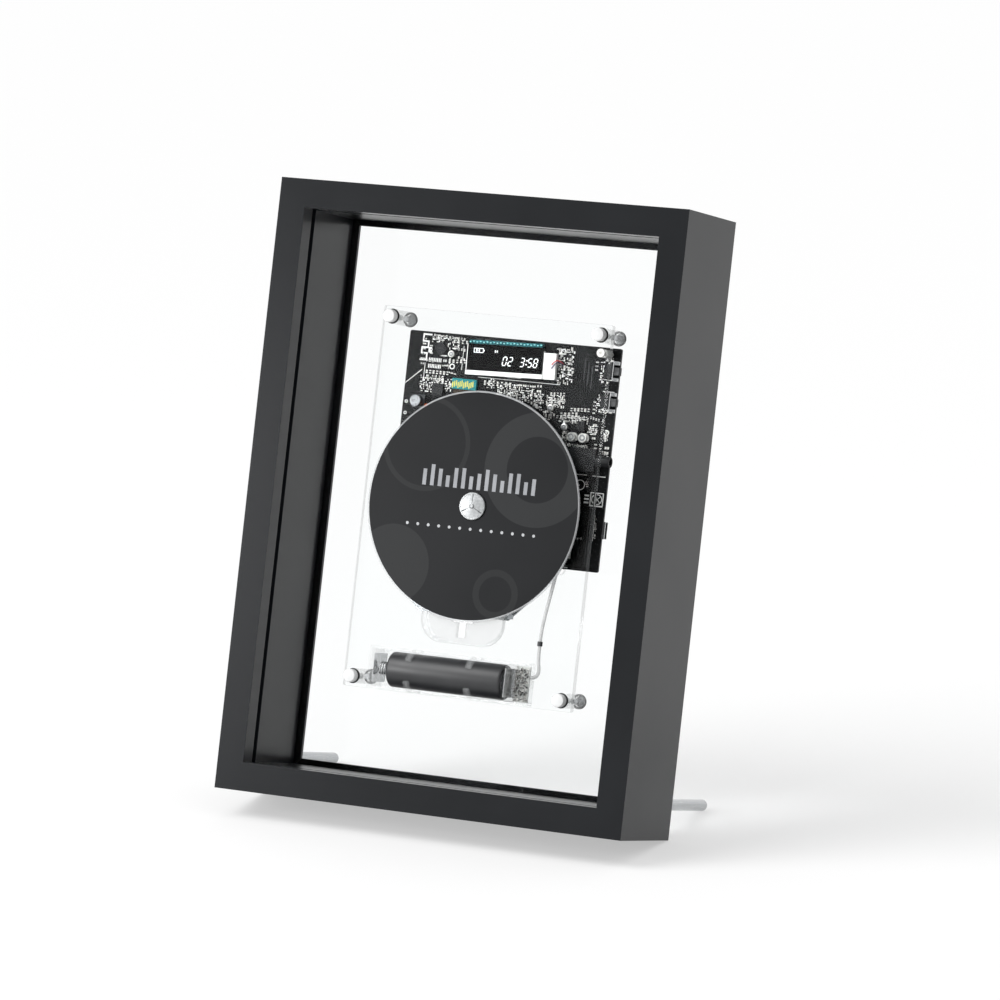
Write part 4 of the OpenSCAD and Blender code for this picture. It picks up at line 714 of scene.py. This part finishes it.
# rows of chip parts, from the board's middle: [x, z, count, step in x, step in z, size in x, size in z,
# height]
ROWS = np.array([
    [-51, 54, 6, 0, -2.6, 1.6, 0.8, 0.6], [-34, 54, 5, 2.4, 0, 0.8, 1.6, 0.6],
    [-35.4, 43.5, 5, 2.2, 0.1, 1.0, 1.6, 0.8], [-47, 40.4, 6, 2.0, 0.1, 1.2, 0.7, 0.5],
    [-48, 37, 7, 2.0, 0, 1.0, 1.7, 0.6], [-47.5, 33.6, 4, 2.3, 0, 1.4, 0.8, 0.6],
    [-33, 24, 3, 2.2, -0.6, 1.0, 1.6, 0.6], [-14, 34, 7, 2.4, 0, 0.9, 2.4, 0.7],
    [-6, 29.4, 8, 1.8, -0.3, 0.9, 1.6, 0.6], [6, 34.4, 4, 2.6, 0, 1.8, 0.9, 0.6],
    [11, 31.2, 3, 2.0, -0.4, 0.8, 1.4, 0.6], [17, 34.8, 3, 0, -2.6, 2.2, 1.1, 0.7],
    [22.6, 26, 4, 2.2, 0.4, 1.0, 1.7, 0.8], [31, 21.4, 5, 2.1, 0.2, 1.1, 1.8, 0.7],
    [36.4, 24.4, 6, 1.9, 0.1, 1.0, 1.6, 0.7], [33.6, 12, 3, 0.5, -2.4, 1.6, 0.9, 0.6],
    [37.4, 6, 5, 2.3, 0, 1.4, 1.0, 0.6], [50.4, 17.6, 4, 0, -2.3, 1.8, 1.0, 0.7],
    [55.6, 14.6, 3, 0, -2.2, 2.4, 1.3, 0.9], [57.8, 6.4, 2, 0, -2.6, 2.2, 1.2, 0.8],
    [37, -13.6, 3, 0, -2.4, 2.2, 1.2, 0.7], [27.6, 52, 4, 1.8, 1.2, 1.0, 1.6, 0.7],
    [27.4, 46.5, 4, 2.4, -0.6, 1.0, 1.7, 0.7], [28, 41, 4, 2.2, 1.0, 0.9, 1.5, 0.6],
    [-38.6, 56, 7, 1.7, -0.1, 0.7, 1.1, 0.5], [-31, 50.2, 4, 1.7, -0.2, 0.7, 1.2, 0.5],
    [-47, 50.6, 3, 0.2, -1.9, 1.3, 0.7, 0.5], [-30.6, 45.8, 3, 1.6, -0.4, 0.7, 1.1, 0.5],
    [-52, 43.4, 5, 1.7, -0.2, 0.7, 1.2, 0.5], [-35.4, 37.6, 3, 1.8, -0.3, 1.1, 0.6, 0.5],
    [-40, 33.4, 4, 1.9, -0.6, 0.8, 1.4, 0.5], [-9, 25.6, 6, 1.9, -0.5, 0.7, 1.2, 0.5],
    [8, 27.6, 5, 1.8, -0.6, 0.8, 1.3, 0.5], [15, 24.6, 4, 2.0, -0.9, 1.2, 0.8, 0.5],
    [23, 22.4, 4, 1.9, -0.8, 0.8, 1.3, 0.5], [24, 31.4, 5, 1.8, 0.1, 0.8, 1.6, 0.5],
    [24.5, 28.8, 5, 1.8, -0.1, 0.8, 1.4, 0.5], [37, 20.6, 4, 1.6, -0.1, 0.7, 1.3, 0.5],
    [47.6, 21.2, 4, 1.5, -0.3, 0.7, 1.2, 0.5], [34, 18.2, 2, 0, -2.1, 1.2, 0.7, 0.5],
    [51.8, 7.6, 3, 0, -1.9, 1.3, 0.7, 0.5], [40.6, 3.4, 5, 1.9, -0.1, 1.2, 0.7, 0.5],
    [32.4, 49.6, 3, 0.8, -2.0, 1.2, 0.7, 0.5], [47.8, 50.0, 3, 0, -2.0, 1.3, 0.7, 0.5],
    [54.4, 38.6, 4, 0, -1.8, 1.3, 0.7, 0.5], [48.8, 29.4, 4, 0, -1.9, 1.2, 0.7, 0.5],
    [40.5, -15.6, 3, 0, -1.9, 1.2, 0.7, 0.5], [44.8, -14.0, 4, 0, -1.7, 0.9, 0.6, 0.5]])


def chip_row_boxes(rows):
    """The parts of all the rows: their middles, their bodies' sizes, their tinned ends' sizes, and how far
    the ends' middles lie from the parts' along the longer side."""
    count = rows[:, 2].astype(int)
    each = np.repeat(rows, count, axis=0)
    k = np.arange(len(each)) - np.repeat(np.cumsum(count) - count, count)
    x, z = each[:, 0] + k * each[:, 3], each[:, 1] + k * each[:, 4]
    wide, tall, high = each[:, 5], each[:, 6], each[:, 7]
    lies = (wide > tall).astype(float)
    long = np.maximum(wide, tall)
    centre_y = BOARD_FRONT - high / 2
    at = np.stack([BOARD_X + x, centre_y, BOARD_Z + z], -1)
    body = np.stack([wide - lies * 0.44 * long, high * 0.96, tall - (1 - lies) * 0.44 * long], -1)
    end = np.stack([wide - lies * 0.76 * long, high, tall - (1 - lies) * 0.76 * long], -1)
    off = np.stack([lies * 0.38 * long, 0 * long, (1 - lies) * 0.38 * long], -1)
    return at, body, end, off


at, body_size, end_size, off = chip_row_boxes(ROWS)
dark = (np.arange(len(at)) * 7) % 5 < 2
tinned = boxes(np.vstack([at + off, at - off]), np.vstack([end_size, end_size]))
piece("chip_parts", [(boxes(at[~dark], body_size[~dark]), FINISH["parts_grey"]),
                     (boxes(at[dark], body_size[dark]), RESISTOR), (tinned, FINISH["tin_silver"])],
      stands_for=["small_parts"])


def strokes(rows, high=0.03):
    """Thin straight marks on the board's front: rows of [x0, z0, x1, z1, width] from the board's middle."""
    rows = np.asarray(rows, float)
    a, b = rows[:, :2], rows[:, 2:4]
    way = (b - a) / np.linalg.norm(b - a, axis=1, keepdims=True)
    side = way[:, ::-1] * [-1, 1] * rows[:, 4:] / 2
    corner = np.stack([a - side, a + side, b - side, b + side], 1).reshape(-1, 2, 1, 2, 2)
    points = np.empty((len(rows), 2, 2, 2, 3))
    points[..., 0], points[..., 2] = BOARD_X + corner[..., 0], BOARD_Z + corner[..., 1]
    points[..., 1] = BOARD_FRONT - high * np.array([1, 0])[:, None]
    step = np.arange(len(rows)) * 8
    return points.reshape(-1, 3), [(SIDES[None] + step[:, None, None]).reshape(-1, 4)]


def field(x, z, width, height, pitch, share, rng):
    """Rows [x, z, size in x, size in z, height] of tiny parts that fill a field round [x, z] on a grid of
    the given pitch: each place is filled with the given share, a little off the grid, and its part lies or
    stands."""
    across, upward = np.arange(-width / 2, width / 2, pitch), np.arange(-height / 2, height / 2, pitch * 1.1)
    gx, gz = np.meshgrid(across, upward)
    at = np.stack([x + gx.ravel(), z + gz.ravel()], -1)
    at = at[rng.random(len(at)) < share]
    at = at + rng.uniform(-0.25, 0.25, at.shape)
    long, thick = rng.uniform(0.5, 1.35, len(at)), rng.uniform(0.25, 0.62, len(at))
    stands = rng.random(len(at)) < 0.6
    return np.column_stack([at, np.where(stands, thick, long), np.where(stands, long, thick),
                            rng.uniform(0.1, 0.45, len(at))])


field_rng = np.random.default_rng(7)
# fields of tiny parts: [x, z, width, height, pitch, share], from the board's middle
FIELDS = [[-42.4, 54.8, 8.2, 3.4, 0.95, 0.75], [-34.2, 53.4, 6.2, 6.4, 1.0, 0.72],
          [-44.2, 31.0, 13.4, 8.6, 1.05, 0.72], [-36.0, 31.0, 5.4, 6.0, 1.05, 0.6],
          [-37.0, 43.0, 4.0, 6.4, 1.1, 0.5], [-10.5, 34.0, 4.4, 4.4, 0.95, 0.75],
          [-0.5, 32.0, 11.6, 6.4, 0.98, 0.72], [9.6, 31.6, 7.6, 6.4, 1.05, 0.6],
          [17.6, 27.6, 5.8, 6.8, 1.0, 0.72], [26.7, 27.8, 9.6, 5.4, 0.95, 0.78],
          [29.6, 50.6, 9.6, 9.4, 1.05, 0.6], [31.0, 41.4, 8.2, 7.6, 1.05, 0.66],
          [24.0, 20.6, 6.0, 4.4, 1.05, 0.6], [38.3, 19.8, 15.4, 3.8, 0.95, 0.8],
          [49.2, 15.3, 4.8, 5.2, 0.95, 0.7], [34.4, 11.0, 3.0, 5.4, 1.0, 0.6],
          [40.9, 6.0, 14.0, 1.6, 1.0, 0.85], [56.6, 12.8, 3.8, 4.6, 0.95, 0.7],
          [57.4, 2.9, 3.6, 4.0, 1.0, 0.75], [49.5, -12.4, 1.4, 3.8, 0.85, 0.8],
          [47.9, -41.0, 4.2, 0.9, 0.85, 0.85], [56.2, -34.8, 2.0, 10.6, 1.0, 0.7],
          [42.0, -57.0, 2.0, 1.8, 0.9, 0.8], [51.0, 45.2, 1.2, 10.4, 1.05, 0.7],
          [50.6, 30.0, 1.4, 7.0, 1.05, 0.7], [54.8, 52.2, 3.0, 1.4, 0.9, 0.7],
          [55.0, 25.4, 6.0, 1.4, 0.95, 0.7], [52.4, 43.2, 3.6, 6.4, 1.35, 0.55],
          [52.0, 28.2, 3.6, 6.4, 1.35, 0.55]]
tiny = np.vstack([field(*row, field_rng) for row in FIELDS])
kind = field_rng.random(len(tiny))
tiny_at = np.column_stack([BOARD_X + tiny[:, 0], BOARD_FRONT - tiny[:, 4] / 2, BOARD_Z + tiny[:, 1]])
tiny_size = np.column_stack([tiny[:, 2], tiny[:, 4], tiny[:, 3]])
shares = ((kind < 0.5, SILK), ((kind >= 0.5) & (kind < 0.85), FINISH["tin_silver"]),
          (kind >= 0.85, FINISH["parts_grey"]))
piece("tiny_parts_and_pads", [(boxes(tiny_at[those], tiny_size[those]), finish) for those, finish in shares])

# meander aerial: strips across and links up and down, 0.8 mm wide
aerial = [[-51.9, 56.4, -47.2, 56.4, 0.8], [-51.9, 56.8, -51.9, 52.4, 0.8], [-52.3, 52.8, -48.6, 52.8, 0.8],
          [-48.8, 53.2, -48.8, 49.4, 0.8], [-52.6, 49.6, -48.4, 49.6, 0.8], [-52.3, 50.0, -52.3, 46.4, 0.8],
          [-52.7, 46.6, -49.0, 46.6, 0.8], [-49.2, 47.0, -49.2, 43.0, 0.8], [-53.0, 43.1, -48.8, 43.1, 0.8]]
# white outlines and lines of the silkscreen
lines = [[-25.4, 38.3, 6, 37.9, 0.25], [-18.6, 36.6, 28, 36.6, 0.25], [-60.4, 29.6, -50.9, 37.9, 0.35],
         [-49.6, 41.6, -49.6, 33.0, 0.3], [43.2, -8.5, 48.8, -8.5, 0.4], [51.8, -8.6, 58.6, -8.6, 0.45],
         [52.2, 51.2, 58.8, 51.2, 0.35], [52.6, 41.4, 58.2, 41.4, 0.3], [52.4, 35.4, 58.4, 35.4, 0.3],
         [55.2, -28.6, 55.2, -42, 0.2], [-28.4, 52.0, -28.4, 39.4, 0.25]]
columns = [[x, 44.4 - 3.3 * row, x, 42.4 - 3.3 * row, 0.5]
           for x in np.arange(-47.4, -40.4, 0.95) for row in (0, 1)]
bead_row = [[x, 26.6 - 0.08 * x, x + 0.6, 26.6 - 0.08 * x, 0.6] for x in np.arange(-3, 9, 1.2)]
# three pads and the crossed fixing pad low on the right
pads_low = [[48.6, z, 51.2, z, 0.9] for z in (-18.9, -20.7, -22.5)]
cross = [[53.7, -22.1, 56.9, -18.9, 0.3], [53.7, -18.9, 56.9, -22.1, 0.3]]
square = [[51.9, -17.2, 58.7, -17.2, 0.5], [51.9, -23.9, 58.7, -23.9, 0.7], [52.1, -17.2, 52.1, -23.9, 0.5],
          [58.5, -17.2, 58.5, -23.9, 0.5]]
white_pads = [[-47.5, 49.8, -47.5, 47.0, 1.9], [-41.4, 46.0, -38.0, 46.0, 0.6]]
piece("silkscreen", [(strokes(lines + columns + bead_row + pads_low + cross + square + white_pads), SILK)])
piece("aerial_trace", [(strokes(aerial, 0.035), SILK)])

# masked traces down the right of the board and along its top edge
traces = [[34 + 2.1 * k, 4 - 0.6 * (k % 3), 34 + 2.1 * k, -13 + 1.6 * (k % 4), 0.4] for k in range(8)]
traces += [[52.6 + 1.1 * k, -12, 52.6 + 1.1 * k, -56, 0.35] for k in range(3)]
traces += [[-22 + 5 * k, 56.4, -18.4 + 5 * k, 56.4, 0.35] for k in range(8)]
traces += [[41 + 2.2 * k, 52 - 2 * k, 41 + 2.2 * k, 40 - 2 * k, 0.35] for k in range(3)]
piece("masked_traces", [(strokes(traces, 0.03), TRACE)])

# plated holes: test points, vias and the round parts' rings
hole = turned([[0.45, -0.05], [0.9, -0.05], [0.9, 0.02], [0.45, 0.02]], 20, ring=True)
via = turned([[0.1, -0.03], [0.26, -0.03], [0.26, 0.01], [0.1, 0.01]], 10, ring=True)
wide_ring = turned([[1.0, -0.3], [1.5, -0.3], [1.5, 0.0], [1.0, 0.0]], 32, ring=True)
thin_ring = turned([[2.3, -0.05], [2.7, -0.05], [2.7, 0.0], [2.3, 0.0]], 40, ring=True)
trim = turned([[0.05, -1.1], [1.5, -1.1], [1.8, -0.9], [1.8, 0], [0.05, 0]], 32)
holes = [on_board(*p) for p in ((-58, 20.5), (-58, 14.5))]
spots = np.vstack([np.stack([field_rng.uniform(*x, count), np.zeros(count), field_rng.uniform(*z, count)], -1)
                   for x, z, count in (((35, 53), (-54, 54), 90), ((-59, -50), (22, 42), 16))])
spots = spots + [BOARD_X, BOARD_FRONT, BOARD_Z]
rings = [on_board(*p) for p in ((28.3, 53.8), (-33.9, 40.8), (56.4, 14.2))]
piece("plated_holes", [(moved(hole, holes), SILK), (moved(via, spots), TRACE),
                       (moved(wide_ring, rings), SILK),
                       (moved(thin_ring, [on_board(45.5, -13.8), on_board(55.3, -20.5)]), SILK)])

# drum inductors: tinned flanges with a potted winding and a pale centre
drum = [[0.05, -4.0], [0.75, -4.0], [0.85, -3.85], [1.65, -3.85], [1.75, -4.0], [2.3, -4.0], [2.45, -3.85],
        [2.45, -3.4], [1.75, -2.95], [1.75, -1.05], [2.45, -0.6], [2.45, 0.0], [0.05, 0.0]]
coil_at = [on_board(39, 10.3), on_board(45.4, 10.3)]
ring_coil = turned([[0.85, -4.02], [1.65, -4.02], [1.65, -3.84], [0.85, -3.84]], 40, ring=True)
piece("drum_inductors", [(moved(turned(drum, 48), coil_at), FINISH["tin_silver"]),
                         (moved(ring_coil, coil_at), WINDING)], stands_for=["inductors"])
trim_at = [on_board(33.3, 15.1), on_board(-34.9, 47.2), on_board(24.4, 24.2)]
trim_ring = turned([[0.4, -1.16], [1.2, -1.16], [1.2, -1.08], [0.4, -1.08]], 24, ring=True)
piece("round_parts", [(moved(trim, trim_at), FINISH["tin_silver"]), (moved(trim_ring, trim_at), WINDING)])

# yellow contacts of the ribbon connector
fingers = np.stack([np.linspace(-24.6, -13.1, 12), np.full(12, 44.97), 222.2 + 0.5 * (np.arange(12) % 3)], -1)
piece("connector_contacts", [(boxes(fingers, [0.6, 0.12, 3.0]), YELLOW)])

# the lamp block's two wires bend down to the board
for name, finish, drop in (("lamp_wire_red", RED_LEAD, 0.0), ("lamp_wire_purple", PURPLE_LEAD, -1.9)):
    way = curve_through([[30.4, 44.4, 237.2 + drop], [31.6, 43.4, 238.2 + drop],
                         [33.6, 43.2, 239.6 + 0.6 * drop], [35.2, 44.6, 239.2 + 0.4 * drop],
                         [35.8, 46.6, 238.4 + 0.4 * drop]])
    piece(name, [(swept(way, 0.28, 12, (1, 0.3, 0)), finish)])

# the board's back: solder joints under the plugged parts and a few flat packages
joint = turned([[0.05, 0.7], [0.25, 0.65], [0.5, 0.25], [0.85, 0.0], [0.05, 0.0]], 14)
joints = [on_board(x, 54.6, BOARD_BACK) for x in np.linspace(-25, 19, 23)]
joints += [on_board(x, z, BOARD_BACK) for x in (44, 51) for z in (46.1, 29.9, 3.6, -5.4)]
joints += [on_board(x, -47.5, BOARD_BACK) for x in (39.6, 41.9)]
joints += [on_board(-25.2 + 1.25 * k, 29.0, BOARD_BACK) for k in range(-5, 6)]
piece("solder_joints", [(moved(joint, joints), FINISH["tin_silver"])])
packs = boxes([on_board(-30, 45, BOARD_BACK + 0.55), on_board(6, 44, BOARD_BACK + 0.5),
               on_board(41, 22, BOARD_BACK + 0.45), on_board(38, -20, BOARD_BACK + 0.4)],
              [[9, 1.1, 9], [12, 1.0, 7], [6, 0.9, 8], [5, 0.8, 5]])
legs = [on_board(-30 + 5.1 * s, 45 + 0.9 * k, BOARD_BACK + 0.12) for s in (-1, 1) for k in range(-4, 5)]
legs += [on_board(6 + 1.0 * k, 44 + 4.1 * s, BOARD_BACK + 0.12) for s in (-1, 1) for k in range(-5, 6)]
piece("back_packages", [(packs, FINISH["chip_black"]), (boxes(legs, [0.5, 0.24, 0.5]), FINISH["tin_silver"])])

# ---------------------------------------------------------------- battery
sleeve = [[3.0, -32.5], [6.9, -32.5], [7.2, -32.35], [7.9, -32.42], [8.6, -32.2], [9.05, -31.75],
          [9.2, -31.1], [9.2, 30.9], [9.16, 31.4], [8.9, 31.95], [8.3, 32.2], [7.6, 32.24], [7.3, 32.1],
          [3.0, 32.1]]
cap_end = [[0.1, 32.1], [6.2, 32.1], [6.2, 32.3], [2.9, 32.35], [2.75, 33.3], [2.4, 33.4], [0.1, 33.4]]
cell_at = [[0, CELL_Y, CELL_Z]]
piece("cell_sleeve_and_cap", [(moved(sideways(turned(sleeve, 96)), cell_at), FINISH["cell_black"]),
                              (moved(sideways(turned(cap_end, 64)), cell_at), VENT)],
      stands_for=["battery_cell"])
t = np.linspace(0, 4, 4 * 28 + 1)
wound = 2 * math.pi * t
helix = np.stack([-33.6 - 5.3 * t / 4, CELL_Y + 3.4 * np.cos(wound), CELL_Z + 3.4 * np.sin(wound)], -1)
piece("contact_spring", [(swept(helix, 0.4, 12, (1, 0, 0)), FINISH["plated_steel"])],
      stands_for=["battery_spring"], edge=60)

# protection parts on the holder's small board
bit_rng = np.random.default_rng(11)
BITS = 330


def scattered(*ranges):
    """A row for each small part, with a number drawn from each range."""
    return np.column_stack([bit_rng.uniform(low_end, high_end, BITS) for low_end, high_end in ranges])


bits = scattered((35.0, 42.3), (28.6, 30.4), (62.6, 80.4))
bit_size = scattered((0.25, 0.9), (0.2, 0.6), (0.25, 0.9))
pick = bit_rng.integers(0, 4, BITS)
bit_finishes = (RESISTOR, FINISH["tin_silver"], FINISH["parts_grey"], SILK)
piece("holder_board_parts", [(boxes(bits[pick == k], bit_size[pick == k]), finish)
                             for k, finish in enumerate(bit_finishes)])

# the battery's lead, along the points that the source has
ROUTE = [[42.6, 31.2, 75.5], [43.8, 31.2, 75.5], [45, 32.2, 76], [45.7, 33.6, 77.6], [45.6, 34.4, 80],
         [44.9, 34.6, 84], [44.6, 34.6, 88], [44.6, 34.6, 92], [44.6, 34.6, 96], [44.9, 34.6, 101],
         [45.5, 34.6, 106], [46.4, 34.6, 112], [47.4, 34.6, 118], [48.4, 34.6, 124], [49, 34.7, 128],
         [49.3, 35.4, 130.6], [49.5, 37, 132.2], [49.5, 39, 133.4], [49.4, 41.4, 134.2], [49.2, 43.4, 135],
         [49, 44.3, 136.2], [49, 44.4, 137.4], [49, 44.4, 138.5]]
lead_path = curve_through(ROUTE, 5)
lead = piece("battery_lead_sheath", [(swept(lead_path, 0.9, 20), FINISH["lead_grey"])],
             stands_for=["battery_lead"], edge=60)

bpy.context.scene.view_settings.view_transform = "Standard"
